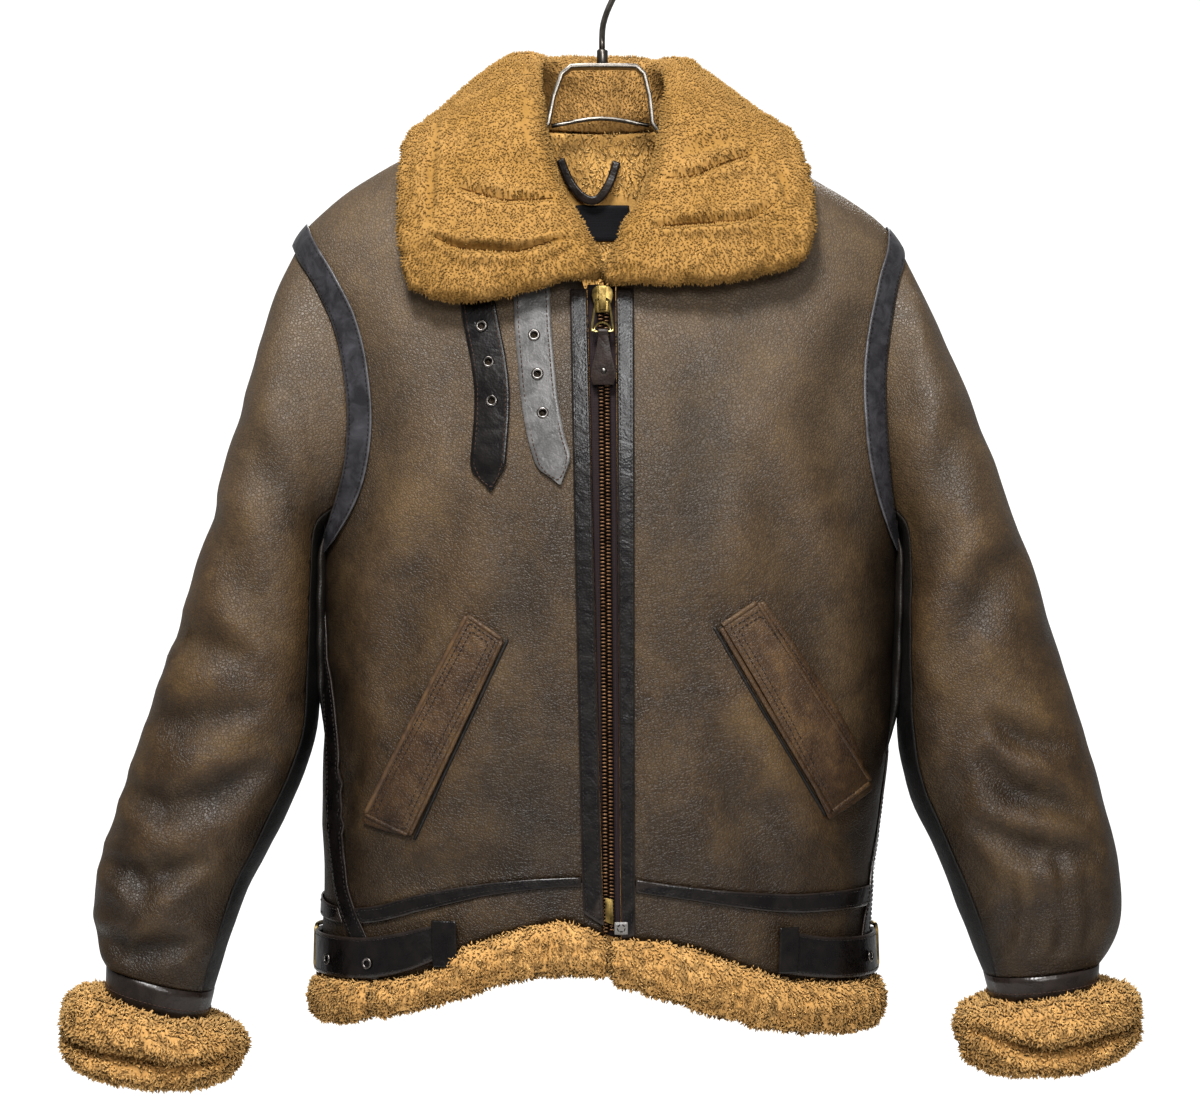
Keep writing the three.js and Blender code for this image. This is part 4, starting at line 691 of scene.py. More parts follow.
def pile_tree():
    """Locks of wool that stand on a surface where its pile value is above nothing."""
    tree = tree_with(
        "Wool pile",
        [
            ("Lock", "NodeSocketObject"),
            ("Spacing", "NodeSocketFloat"),
            ("Unevenness", "NodeSocketFloat"),
            ("Hang", "NodeSocketFloat"),
            ("Smallest", "NodeSocketFloat"),
            ("Largest", "NodeSocketFloat"),
            ("Seed", "NodeSocketInt"),
            ("Wool", "NodeSocketMaterial"),
        ],
    )
    given = node(tree, "NodeGroupInput").outputs
    pile = node(tree, "GeometryNodeInputNamedAttribute", {"Name": "pile"}, data_type="FLOAT").outputs[0]
    roots = node(
        tree,
        "GeometryNodeDistributePointsOnFaces",
        {
            "Mesh": given["Geometry"],
            "Distance Min": given["Spacing"],
            "Density Max": 400000.0,
            "Density Factor": pile,
            "Seed": given["Seed"],
        },
        distribute_method="POISSON",
    )
    # The surface's own direction at each root, kept for the shading of the lock
    skin = node(
        tree,
        "GeometryNodeCaptureAttribute",
        {"Geometry": roots.outputs["Points"]},
        domain="POINT",
    )
    skin.capture_items.new("VECTOR", "Value")
    tree.links.new(roots.outputs["Normal"], skin.inputs["Value"])
    jitter = node(
        tree,
        "FunctionNodeRandomValue",
        {0: (-1.0, -1.0, -1.0), 1: (1.0, 1.0, 1.0), "Seed": 3},
        data_type="FLOAT_VECTOR",
    )
    uneven = node(
        tree,
        "ShaderNodeVectorMath",
        {0: jitter.outputs[0], "Scale": given["Unevenness"]},
        operation="SCALE",
    )
    down = node(tree, "ShaderNodeCombineXYZ", {"Z": given["Hang"]})
    leaning = node(
        tree,
        "ShaderNodeVectorMath",
        {0: roots.outputs["Normal"], 1: uneven.outputs[0]},
        operation="ADD",
    )
    hanging = node(
        tree,
        "ShaderNodeVectorMath",
        {0: leaning.outputs[0], 1: down.outputs[0]},
        operation="SUBTRACT",
    )
    way = node(tree, "FunctionNodeAlignRotationToVector", {"Vector": hanging.outputs[0]}, axis="Z")
    turn = node(tree, "FunctionNodeRandomValue", {2: 0.0, 3: 6.283, "Seed": 5}, data_type="FLOAT")
    spin = node(
        tree,
        "FunctionNodeAxisAngleToRotation",
        {"Axis": (0.0, 0.0, 1.0), "Angle": turn.outputs[1]},
    )
    turned = node(
        tree,
        "FunctionNodeRotateRotation",
        {"Rotation": way.outputs[0], "Rotate By": spin.outputs[0]},
        rotation_space="LOCAL",
    )
    size = node(
        tree,
        "FunctionNodeRandomValue",
        {2: given["Smallest"], 3: given["Largest"], "Seed": 7},
        data_type="FLOAT",
    )
    lock = node(tree, "GeometryNodeObjectInfo", {"Object": given["Lock"]})
    placed = node(
        tree,
        "GeometryNodeInstanceOnPoints",
        {
            "Points": skin.outputs["Geometry"],
            "Instance": lock.outputs["Geometry"],
            "Rotation": turned.outputs[0],
            "Scale": size.outputs[1],
        },
    )
    varied = node(tree, "FunctionNodeRandomValue", {2: 0.0, 3: 1.0, "Seed": 11}, data_type="FLOAT")
    # Painted light kept on the surface makes the locks that stand there paler
    pale = node(tree, "GeometryNodeInputNamedAttribute", {"Name": "pale"}, data_type="FLOAT").outputs[0]
    tone = node(tree, "ShaderNodeMath", {0: varied.outputs[1], 1: pale}, operation="ADD")
    toned = node(
        tree,
        "GeometryNodeStoreNamedAttribute",
        {"Geometry": placed.outputs[0], "Name": "tone", "Value": tone.outputs[0]},
        data_type="FLOAT",
        domain="INSTANCE",
    )
    skinned = node(
        tree,
        "GeometryNodeStoreNamedAttribute",
        {"Geometry": toned.outputs[0], "Name": "skin", "Value": skin.outputs["Value"]},
        data_type="FLOAT_VECTOR",
        domain="INSTANCE",
    )
    end_tree(tree, skinned.outputs[0], given["Wool"])
    return tree


def along_tree():
    """Small parts at even steps along drawn lines, with their tops along the stored normal."""
    tree = tree_with(
        "Parts along a line",
        [("Part", "NodeSocketObject"), ("Step", "NodeSocketFloat"), ("Finish", "NodeSocketMaterial")],
    )
    given = node(tree, "NodeGroupInput").outputs
    up = node(tree, "GeometryNodeInputNamedAttribute", {"Name": "up"}, data_type="FLOAT_VECTOR")
    line = node(tree, "GeometryNodeMeshToCurve", {"Mesh": given["Geometry"]})
    even = node(
        tree,
        "GeometryNodeResampleCurve",
        {"Curve": line.outputs[0], "Length": given["Step"]},
        mode="LENGTH",
    )
    way = node(tree, "GeometryNodeInputTangent").outputs[0]
    forward = node(tree, "FunctionNodeAlignRotationToVector", {"Vector": way}, axis="X")
    upright = node(
        tree,
        "FunctionNodeAlignRotationToVector",
        {"Rotation": forward.outputs[0], "Vector": up.outputs[0]},
        axis="Z",
        pivot_axis="X",
    )
    part = node(tree, "GeometryNodeObjectInfo", {"Object": given["Part"]})
    placed = node(
        tree,
        "GeometryNodeInstanceOnPoints",
        {"Points": even.outputs[0], "Instance": part.outputs["Geometry"], "Rotation": upright.outputs[0]},
    )
    end_tree(tree, placed.outputs[0], given["Finish"])
    return tree


def tree_named(name, make):
    """A node tree by its name, made at its first use."""
    return bpy.data.node_groups.get(name) or make()


def set_along(name, base, pattern, step, finish):
    """Copies of a small part at even steps along the lines of a mesh, as one piece."""
    piece = grown(
        name,
        base,
        tree_named("Parts along a line", along_tree),
        {"Part": pattern, "Step": step, "Finish": bpy.data.materials[finish]},
    )
    put_away(pattern)
    return piece


def pile_on(name, mesh, lock, wool, values):
    """Locks of wool on a mesh where its pile value is above nothing, as one piece."""
    given = {"Lock": lock, "Wool": bpy.data.materials[wool], **values}
    return finish_piece(grown(name, mesh, tree_named("Wool pile", pile_tree), given), "fleece")


def lock_of_wool(name, length, half, sides, rings, curl, blunt):
    """One lock: a closed tapering horn that curls over, with its tip value from 0 to 1."""
    shape = bmesh.new()
    tip = shape.verts.layers.float.new("tip")
    levels = []
    for r in range(rings):
        t = r / rings
        wide = half * ((1 - t) ** blunt) * (1 + 0.35 * math.sin(math.pi * t))
        bend = curl * t * t
        ring = []
        for c in range(sides):
            turn = 2 * math.pi * c / sides + 0.9 * t
            point = (
                wide * math.cos(turn) + length * 0.5 * math.sin(bend) * t,
                wide * math.sin(turn) + length * 0.18 * math.sin(2.2 * bend) * t,
                length * t * (1 - 0.25 * bend * t) - half * 0.4,
            )
            corner = shape.verts.new([v * MM for v in point])
            corner[tip] = t
            ring.append(corner)
        levels.append(ring)
    point = (
        length * 0.5 * math.sin(curl),
        length * 0.18 * math.sin(2.2 * curl),
        length * (1 - 0.25 * curl),
    )
    end = shape.verts.new([v * MM for v in point])
    end[tip] = 1
    for low, high in zip(levels[:-1], levels[1:]):
        for c in range(sides):
            d = (c + 1) % sides
            shape.faces.new((low[c], low[d], high[d], high[c]))
    for c in range(sides):
        shape.faces.new((levels[-1][c], levels[-1][(c + 1) % sides], end))
    shape.faces.new(levels[0][::-1])
    return show(name, mesh_of(shape, name))


def put_away(*pieces):
    """Removes pieces that were only patterns for others."""
    for piece in pieces:
        mesh = piece.data
        bpy.data.objects.remove(piece)
        if mesh.users == 0:
            bpy.data.meshes.remove(mesh)


def start_material(name):
    """A new material. Returns its tree, and the place on the piece that its patterns read."""
    made = bpy.data.materials.new(name)
    made.use_nodes = True
    made.node_tree.nodes.clear()
    return made.node_tree, node(made.node_tree, "ShaderNodeTexCoord").outputs["Object"]


def end_material(tree, inputs):
    """Ends a material's tree with its principled shader."""
    surface = node(tree, "ShaderNodeBsdfPrincipled", inputs)
    node(tree, "ShaderNodeOutputMaterial", {"Surface": surface.outputs[0]})


def make_leather(name, dark, middle, light, rough, grain_mm, grain_depth, patch_mm):
    """Dyed leather: cloudy patches of dye, a pebble grain, a sheen that varies with wear, and painted
    light and shade in its colour.
    """
    tree, place = start_material(name)
    patches = node(
        tree,
        "ShaderNodeTexNoise",
        {
            "Vector": place,
            "Scale": 1 / (patch_mm * MM),
            "Detail": 5.0,
            "Roughness": 0.62,
            "Distortion": 0.4,
        },
    )
    speckle = node(
        tree,
        "ShaderNodeTexNoise",
        {"Vector": place, "Scale": 1 / (5.5 * MM), "Detail": 3.0, "Roughness": 0.7},
    )
    cloud = node(
        tree,
        "ShaderNodeMix",
        {0: 0.24, 2: patches.outputs[0], 3: speckle.outputs[0]},
        data_type="FLOAT",
    )
    colour = node(
        tree,
        "ShaderNodeValToRGB",
        {"Fac": cloud.outputs[0]},
        stops=((0.34, dark), (0.64, light), (0.49, middle)),
    )
    bent = node(tree, "ShaderNodeMix", {0: 0.004, 4: place, 5: speckle.outputs[1]}, data_type="VECTOR")
    pebbles = node(
        tree,
        "ShaderNodeTexVoronoi",
        {"Vector": bent.outputs[1], "Scale": 1 / (grain_mm * MM), "Randomness": 1.0},
        feature="DISTANCE_TO_EDGE",
    )
    crevice = node(
        tree,
        "ShaderNodeMapRange",
        {"Value": pebbles.outputs["Distance"], 1: 0.0, 2: 0.22, 3: 0.0, 4: 1.0},
        interpolation_type="SMOOTHSTEP",
    )
    creases = node(
        tree,
        "ShaderNodeTexNoise",
        {"Vector": place, "Scale": 1 / (9 * MM), "Detail": 4.0, "Roughness": 0.6, "Distortion": 1.6},
    )
    height = node(
        tree,
        "ShaderNodeMath",
        {0: creases.outputs[0], 1: 2.2, 2: crevice.outputs[0]},
        operation="MULTIPLY_ADD",
    )
    bump = node(
        tree,
        "ShaderNodeBump",
        {"Height": height.outputs[0], "Strength": 0.5, "Distance": grain_depth * MM},
    )
    # Painted shade in the grain's crevices
    crevice_shade = node(
        tree,
        "ShaderNodeMapRange",
        {"Value": crevice.outputs[0], 1: 0.0, 2: 1.0, 3: 0.72, 4: 1.0},
    )
    # The fold value is painted into the colour: darker in troughs and in the painted side shade and
    # patches, lighter on ridges as painted highlight
    folds = node(tree, "ShaderNodeAttribute", attribute_name="fold")
    fold_shade = node(
        tree,
        "ShaderNodeMapRange",
        {"Value": folds.outputs["Fac"], 1: -14.0, 2: 5.0, 3: 0.1, 4: 1.4},
    )
    height_of = node(tree, "ShaderNodeSeparateXYZ", {"Vector": place})
    # Painted light and shade: the colour is lighter on the shoulders and darker towards the hem, as light
    # falls from above
    wear_and_height_shade = node(
        tree,
        "ShaderNodeMapRange",
        {"Value": height_of.outputs[2], 1: -0.78, 2: -0.2, 3: 0.36, 4: 1.15},
    )
    painted_shade = node(
        tree,
        "ShaderNodeMath",
        {0: wear_and_height_shade.outputs[0], 1: fold_shade.outputs[0]},
        operation="MULTIPLY",
    )
    shade = node(
        tree,
        "ShaderNodeMath",
        {0: crevice_shade.outputs[0], 1: painted_shade.outputs[0]},
        operation="MULTIPLY",
    )
    # A painted sheen: the colour goes grey on the chest and the shoulders, standing in for the light's
    # reflection there
    sheen_share = node(
        tree,
        "ShaderNodeMapRange",
        {"Value": height_of.outputs[2], 1: -0.62, 2: -0.25, 3: 0.0, 4: 0.5},
        interpolation_type="SMOOTHSTEP",
    )
    painted_sheen = node(
        tree,
        "ShaderNodeMix",
        {0: sheen_share.outputs[0], 6: colour.outputs[0], 7: linear("#453D33")},
        data_type="RGBA",
    )
    final = node(
        tree,
        "ShaderNodeVectorMath",
        {0: painted_sheen.outputs[2], "Scale": shade.outputs[0]},
        operation="SCALE",
    )
    gloss = node(
        tree,
        "ShaderNodeMapRange",
        {"Value": cloud.outputs[0], 1: 0.35, 2: 0.65, 3: rough[0], 4: rough[1]},
    )
    end_material(
        tree,
        {
            "Base Color": final.outputs[0],
            "Roughness": gloss.outputs[0],
            "Normal": bump.outputs[0],
            "Specular IOR Level": 0.26,
            "IOR": 1.5,
        },
    )


def make_edged_leather(name, body, wear_and_height_shade, edge_colour, rough, reach):
    """Finished strap leather: nearly even dye, fine pores, and edges paler with wear."""
    tree, place = start_material(name)
    scuffs = node(
        tree,
        "ShaderNodeTexNoise",
        {"Vector": place, "Scale": 1 / (14 * MM), "Detail": 6.0, "Roughness": 0.68, "Distortion": 0.6},
    )
    colour = node(
        tree,
        "ShaderNodeValToRGB",
        {"Fac": scuffs.outputs[0]},
        stops=((0.4, body), (0.78, wear_and_height_shade)),
    )
    edge = node(tree, "ShaderNodeAttribute", attribute_name="edge")
    rim = node(
        tree,
        "ShaderNodeMapRange",
        {"Value": edge.outputs["Fac"], 1: 1 - reach, 2: 1.0, 3: 0.0, 4: 1.0},
        interpolation_type="SMOOTHSTEP",
    )
    rub = node(tree, "ShaderNodeMath", {0: rim.outputs[0], 1: scuffs.outputs[0]}, operation="MULTIPLY")
    mixed = node(
        tree,
        "ShaderNodeMix",
        {0: rub.outputs[0], 6: colour.outputs[0], 7: linear(edge_colour)},
        data_type="RGBA",
    )
    pores = node(tree, "ShaderNodeTexVoronoi", {"Vector": place, "Scale": 1 / (1.6 * MM)}, feature="F1")
    ripple = node(
        tree,
        "ShaderNodeTexNoise",
        {"Vector": place, "Scale": 1 / (16 * MM), "Detail": 2.0, "Distortion": 1.4},
    )
    height = node(
        tree,
        "ShaderNodeMath",
        {0: ripple.outputs[0], 1: 6.0, 2: pores.outputs["Distance"]},
        operation="MULTIPLY_ADD",
    )
    bump = node(
        tree,
        "ShaderNodeBump",
        {"Height": height.outputs[0], "Strength": 0.3, "Distance": 0.28 * MM},
    )
    gloss = node(
        tree,
        "ShaderNodeMapRange",
        {"Value": scuffs.outputs[0], 1: 0.3, 2: 0.7, 3: rough[0], 4: rough[1]},
    )
    end_material(
        tree,
        {
            "Base Color": mixed.outputs[2],
            "Roughness": gloss.outputs[0],
            "Normal": bump.outputs[0],
            "Specular IOR Level": 0.24,
            "IOR": 1.5,
        },
    )


def make_wool(name, root, body, tip, sheen, lump_mm, clump_mm, parting):
    """Sheep's wool, paler at the tips, with painted shade that darkens the roots and the partings between
    its clumps.
    """
    tree, place = start_material(name)
    height = node(tree, "ShaderNodeAttribute", attribute_name="tip")
    tone = node(tree, "ShaderNodeAttribute", attribute_name="tone")
    lumps = node(
        tree,
        "ShaderNodeTexNoise",
        {"Vector": place, "Scale": 1 / (lump_mm * MM), "Detail": 3.0, "Roughness": 0.6},
    )
    fine = node(
        tree,
        "ShaderNodeTexNoise",
        {"Vector": place, "Scale": 1 / (2.2 * MM), "Detail": 2.0, "Roughness": 0.7},
    )
    # Painted shade: the colour darkens from the tips to the roots, and in the hollows and grooves that
    # the base's tip value marks
    lifted = node(
        tree,
        "ShaderNodeMath",
        {0: height.outputs["Fac"], 1: 0.45, 2: 0.2},
        operation="MULTIPLY_ADD",
    )
    varied = node(
        tree,
        "ShaderNodeMath",
        {0: lumps.outputs[0], 1: 0.6, 2: lifted.outputs[0]},
        operation="MULTIPLY_ADD",
    )
    drift = node(
        tree,
        "ShaderNodeMix",
        {0: clump_mm * 0.0006, 4: place, 5: lumps.outputs[1]},
        data_type="VECTOR",
    )
    clumps = node(
        tree,
        "ShaderNodeTexVoronoi",
        {"Vector": drift.outputs[1], "Scale": 1 / (clump_mm * MM)},
        feature="SMOOTH_F1",
    )
    # Painted shade in the partings between the clumps
    parting_shade = node(
        tree,
        "ShaderNodeMapRange",
        {"Value": clumps.outputs["Distance"], 1: 0.35, 2: 0.75, 3: 1.0, 4: parting},
        interpolation_type="SMOOTHSTEP",
    )
    speckled = node(
        tree,
        "ShaderNodeMath",
        {0: fine.outputs[0], 1: 0.3, 2: varied.outputs[0]},
        operation="MULTIPLY_ADD",
    )
    toned = node(
        tree,
        "ShaderNodeMath",
        {0: tone.outputs["Fac"], 1: 0.16, 2: speckled.outputs[0]},
        operation="MULTIPLY_ADD",
    )
    even = node(tree, "ShaderNodeMapRange", {"Value": toned.outputs[0], 1: 0.3, 2: 1.35, 3: 0.0, 4: 1.0})
    colour = node(
        tree,
        "ShaderNodeValToRGB",
        {"Fac": even.outputs[0]},
        stops=((0.05, root), (0.95, tip), (0.45, body)),
    )
    # The locks are lit mostly as the skin that they stand on, which makes the pile look soft
    skin = node(tree, "ShaderNodeAttribute", attribute_name="skin")
    own = node(tree, "ShaderNodeNewGeometry")
    softer = node(
        tree,
        "ShaderNodeVectorMath",
        {0: skin.outputs["Vector"], 1: (4.0, 4.0, 4.0), 2: own.outputs["Normal"]},
        operation="MULTIPLY_ADD",
    )
    even_normal = node(tree, "ShaderNodeVectorMath", {0: softer.outputs[0]}, operation="NORMALIZE")
    tufts = node(
        tree,
        "ShaderNodeMath",
        {0: parting_shade.outputs[0], 1: clump_mm * 0.35, 2: fine.outputs[0]},
        operation="MULTIPLY_ADD",
    )
    bump = node(
        tree,
        "ShaderNodeBump",
        {
            "Height": tufts.outputs[0],
            "Strength": 0.5,
            "Distance": 0.9 * MM,
            "Normal": even_normal.outputs[0],
        },
    )
    shaded = node(
        tree,
        "ShaderNodeVectorMath",
        {0: colour.outputs[0], "Scale": parting_shade.outputs[0]},
        operation="SCALE",
    )
    end_material(
        tree,
        {
            "Base Color": shaded.outputs[0],
            "Normal": bump.outputs[0],
            "Roughness": 0.92,
            "Specular IOR Level": 0.14,
            "Sheen Weight": 0.35,
            "Sheen Roughness": 0.5,
            "Sheen Tint": linear(sheen),
        },
    )


def make_metal(name, bright, dull, rough, scratch_mm):
    """Worn metal: dull in patches, with fine handling scratches in its roughness."""
    tree, place = start_material(name)
    stains = node(
        tree,
        "ShaderNodeTexNoise",
        {"Vector": place, "Scale": 1 / (6 * MM), "Detail": 5.0, "Roughness": 0.65},
    )
    colour = node(
        tree,
        "ShaderNodeValToRGB",
        {"Fac": stains.outputs[0]},
        stops=((0.35, dull), (0.62, bright)),
    )
    stretched = node(tree, "ShaderNodeMapping", {"Vector": place, "Scale": (1.0, 1.0, 0.12)})
    scratches = node(
        tree,
        "ShaderNodeTexNoise",
        {"Vector": stretched.outputs[0], "Scale": 1 / (scratch_mm * MM), "Detail": 4.0},
    )
    gloss = node(
        tree,
        "ShaderNodeMapRange",
        {"Value": scratches.outputs[0], 1: 0.3, 2: 0.7, 3: rough[0], 4: rough[1]},
    )
    bump = node(
        tree,
        "ShaderNodeBump",
        {"Height": scratches.outputs[0], "Strength": 0.15, "Distance": 0.05 * MM},
    )
    end_material(
        tree,
        {
            "Base Color": colour.outputs[0],
            "Roughness": gloss.outputs[0],
            "Normal": bump.outputs[0],
            "Metallic": 1.0,
        },
    )


def make_weave(name, warp, weft, thread_mm, rough):
    """Woven tape or label: threads over and under, drawn as coarse as they need to show."""
    tree, place = start_material(name)
    turned = node(tree, "ShaderNodeMapping", {"Vector": place, "Rotation": (0.0, math.radians(45), 0.0)})
    threads = node(
        tree,
        "ShaderNodeTexChecker",
        {
            "Vector": turned.outputs[0],
            "Color1": linear(warp),
            "Color2": linear(weft),
            "Scale": 1 / (thread_mm * MM),
        },
    )
    fluff = node(tree, "ShaderNodeTexNoise", {"Vector": place, "Scale": 1 / (3 * MM), "Detail": 3.0})
    bump = node(
        tree,
        "ShaderNodeBump",
        {"Height": threads.outputs[1], "Strength": 0.5, "Distance": 0.15 * MM},
    )
    gloss = node(
        tree,
        "ShaderNodeMapRange",
        {"Value": fluff.outputs[0], 1: 0.3, 2: 0.7, 3: rough - 0.08, 4: rough + 0.08},
    )
    end_material(
        tree,
        {
            "Base Color": threads.outputs[0],
            "Roughness": gloss.outputs[0],
            "Normal": bump.outputs[0],
            "Sheen Weight": 0.05,
            "Specular IOR Level": 0.12,
        },
    )


def make_stage_paint(name, colour):
    """Matt studio paper."""
    tree, place = start_material(name)
    fibres = node(tree, "ShaderNodeTexNoise", {"Vector": place, "Scale": 40.0, "Detail": 3.0})
    bump = node(
        tree,
        "ShaderNodeBump",
        {"Height": fibres.outputs[0], "Strength": 0.05, "Distance": 1.0 * MM},
    )
    end_material(
        tree,
        {
            "Base Color": linear(colour),
            "Normal": bump.outputs[0],
            "Roughness": 0.9,
            "Specular IOR Level": 0.2,
        },
    )


def outer_loops(source):
    """Border lines of a node's outer face. Each point has the way in from the border."""
    shape = copy_of(source)
    outer = set()
    for face in shape.faces:
        middle = np.array(face.calc_center_median())[None] / MM
        if facing_out(middle, np.array(face.normal)):
            outer.add(face)
    borders = [e for e in shape.edges if sum(f in outer for f in e.link_faces) == 1]
    links = {}
    inward = {}
    for edge in borders:
        face = next(f for f in edge.link_faces if f in outer)
        a, b = edge.verts
        middle = (a.co + b.co) / 2
        way = (b.co - a.co).normalized()
        inside = face.calc_center_median() - middle
        inside = (inside - way * inside.dot(way)).normalized()
        for corner, other in ((a, b), (b, a)):
            links.setdefault(corner, []).append(other)
        inward[frozenset((a.index, b.index))] = np.array(inside)
    loops = []
    # A dict keeps its order, so the lines start at the same corners in every run
    left = dict.fromkeys(links)
    while left:
        here = next(iter(left))
        chain = []
        while here is not None:
            del left[here]
            chain.append(here)
            here = next((v for v in links[here] if v in left), None)
        if len(chain) > 3:
            points = []
            for a, b in zip(chain, chain[1:] + chain[:1]):
                inside = inward.get(frozenset((a.index, b.index)))
                if inside is not None:
                    points.append((np.array(a.co) / MM, np.array(b.co) / MM, inside))
            loops.append(points)
    shape.free()
    return loops


def inset_lines(source, distance, step=1.5):
    """Lines a given distance in from the borders of a node's outer face."""
    lines = []
    for loop in outer_loops(source):
        border = []
        moved = []
        for a, b, inside in loop:
            count = max(1, int(np.linalg.norm(b - a) / step))
            for i in range(count):
                border.append(a + (b - a) * i / count)
                moved.append(border[-1] + inside * distance)
        border = np.array(border)
        kept = []
        for point in moved:
            if np.min(np.linalg.norm(border - point, axis=1)) > distance - 0.25:
                kept.append(point)
        if len(kept) > 4:
            lines.append(np.array(kept))
    return lines


def facing_out(middle, normal):
    """Whether a face at a place looks out of the body."""
    return float(outward(middle)[0] @ normal) > 0.6


def line_mesh(name, lines, ups, closed):
    """Lines as loose edges, with the way up stored for each point."""
    mesh = bpy.data.meshes.new(name)
    points = np.concatenate(lines) * MM
    edges = []
    start = 0
    for line in lines:
        count = len(line)
        edges += [(start + i, start + i + 1) for i in range(count - 1)]
        if closed and np.linalg.norm(line[0] - line[-1]) < 8:
            edges.append((start + count - 1, start))
        start += count
    mesh.from_pydata(points.tolist(), edges, [])
    kept = mesh.attributes.new("up", "FLOAT_VECTOR", "POINT")
    kept.data.foreach_set("vector", np.concatenate(ups).astype(np.float32).ravel())
    return mesh


def stitch_part(length, half):
    """One stitch: a rounded bar that dips into the leather at both ends."""
    shape = bmesh.new()
    rings = []
    for share, wide, high in ((-0.5, 0.45, -0.5), (-0.28, 1, 0.6), (0.28, 1, 0.6), (0.5, 0.45, -0.5)):
        ring = []
        for y, z in ((-1, -0.6), (-0.6, 0.7), (0.6, 0.7), (1, -0.6)):
            place = (share * length * MM, y * wide * half * MM, (high * half + z * wide * half) * MM)
            ring.append(shape.verts.new(place))
        rings.append(ring)
    join_rings(shape, rings)
    return show("stitch_pattern", mesh_of(shape, "stitch_pattern"))


def stitches_on(name, base, material, settings):
    """A row of stitches along each line of a mesh, as one piece."""
    pattern = stitch_part(settings.stitch_length / MM, settings.thread / MM / 2)
    return finish_piece(set_along(name, base, pattern, settings.stitch_step, material), "trim")


def sew(name, lines, material, settings, lift=0.1):
    """Rows of stitches along lines that lie on the body's pieces."""
    placed = []
    ups = []
    for line in lines:
        out = distance_out(line)
        here = settle(line, out + body_relief(line) + lift)
        placed.append(here)
        ups.append(outward(here))
    base = line_mesh(name, placed, ups, True)
    return stitches_on(name, base, material, settings)


def ring_part(name, outer, inner, high, sides=20):
    """An eyelet: a round rim that rolls over into its hole."""
    shape = bmesh.new()
    section = (
        (inner, -1.6),
        (inner, high * 0.3),
        (inner + 0.4, high * 0.85),
        ((inner + outer) / 2, high),
        (outer - 0.4, high * 0.75),
        (outer, 0),
        (outer - 0.5, -0.4),
        (inner + 0.5, -0.5),
    )
    turns = [2 * math.pi * c / sides for c in range(sides)]
    rows = [
        [shape.verts.new((r * math.cos(a) * MM, r * math.sin(a) * MM, z * MM)) for a in turns]
        for r, z in section
    ]
    for i, low in enumerate(rows):
        high_row = rows[(i + 1) % len(rows)]
        for c in range(sides):
            shape.faces.new((low[c], low[(c + 1) % sides], high_row[(c + 1) % sides], high_row[c]))
    bmesh.ops.recalc_face_normals(shape, faces=shape.faces)
    return show(name, mesh_of(shape, name))


# What the colour settings have in common
COLOUR = {"size": 4, "min": 0, "max": 1, "subtype": "COLOR"}


class JacketSizes(bpy.types.PropertyGroup):
    """Sizes and colours that a user would change."""

    stitch_step: bpy.props.FloatProperty(
        name="Stitch step", description="From one stitch to the next", default=3.6 * MM, unit="LENGTH"
    )
    stitch_length: bpy.props.FloatProperty(
        name="Stitch length", description="Length of one stitch", default=2.7 * MM, unit="LENGTH"
    )
    thread: bpy.props.FloatProperty(
        name="Thread", description="Thickness of the sewing thread", default=0.75 * MM, unit="LENGTH"
    )
    grain: bpy.props.FloatProperty(
        name="Grain", description="Width of a pebble in the leather", default=2.4 * MM, unit="LENGTH"
    )
    pile_spacing: bpy.props.FloatProperty(
        name="Pile spacing",
        description="Least distance between locks on the collar",
        default=1.2 * MM,
        unit="LENGTH",
    )
    curl_spacing: bpy.props.FloatProperty(
        name="Curl spacing",
        description="Least distance between curls at hem and cuffs",
        default=1.85 * MM,
        unit="LENGTH",
    )
    tooth_step: bpy.props.FloatProperty(
        name="Tooth step",
        description="From one zip tooth to the next on a side",
        default=2.6 * MM,
        unit="LENGTH",
    )
    leather: bpy.props.FloatVectorProperty(
        name="Leather",
        description="Middle colour of the dyed sheepskin",
        default=linear("#3B2B17"),
        **COLOUR,
    )
    trim: bpy.props.FloatVectorProperty(
        name="Trim",
        description="Worn colour of the black tapes and straps",
        default=linear("#120E0C"),
        **COLOUR,
    )
    wool: bpy.props.FloatVectorProperty(
        name="Collar wool",
        description="Middle colour of the collar's wool",
        default=linear("#72562B"),
        **COLOUR,
    )
    curls: bpy.props.FloatVectorProperty(
        name="Curled wool",
        description="Middle colour of the wool at hem and cuffs",
        default=linear("#926F42"),
        **COLOUR,
    )
    brass: bpy.props.FloatVectorProperty(
        name="Brass",
        description="Bright colour of the tarnished brass",
        default=linear("#78663F"),
        **COLOUR,
    )


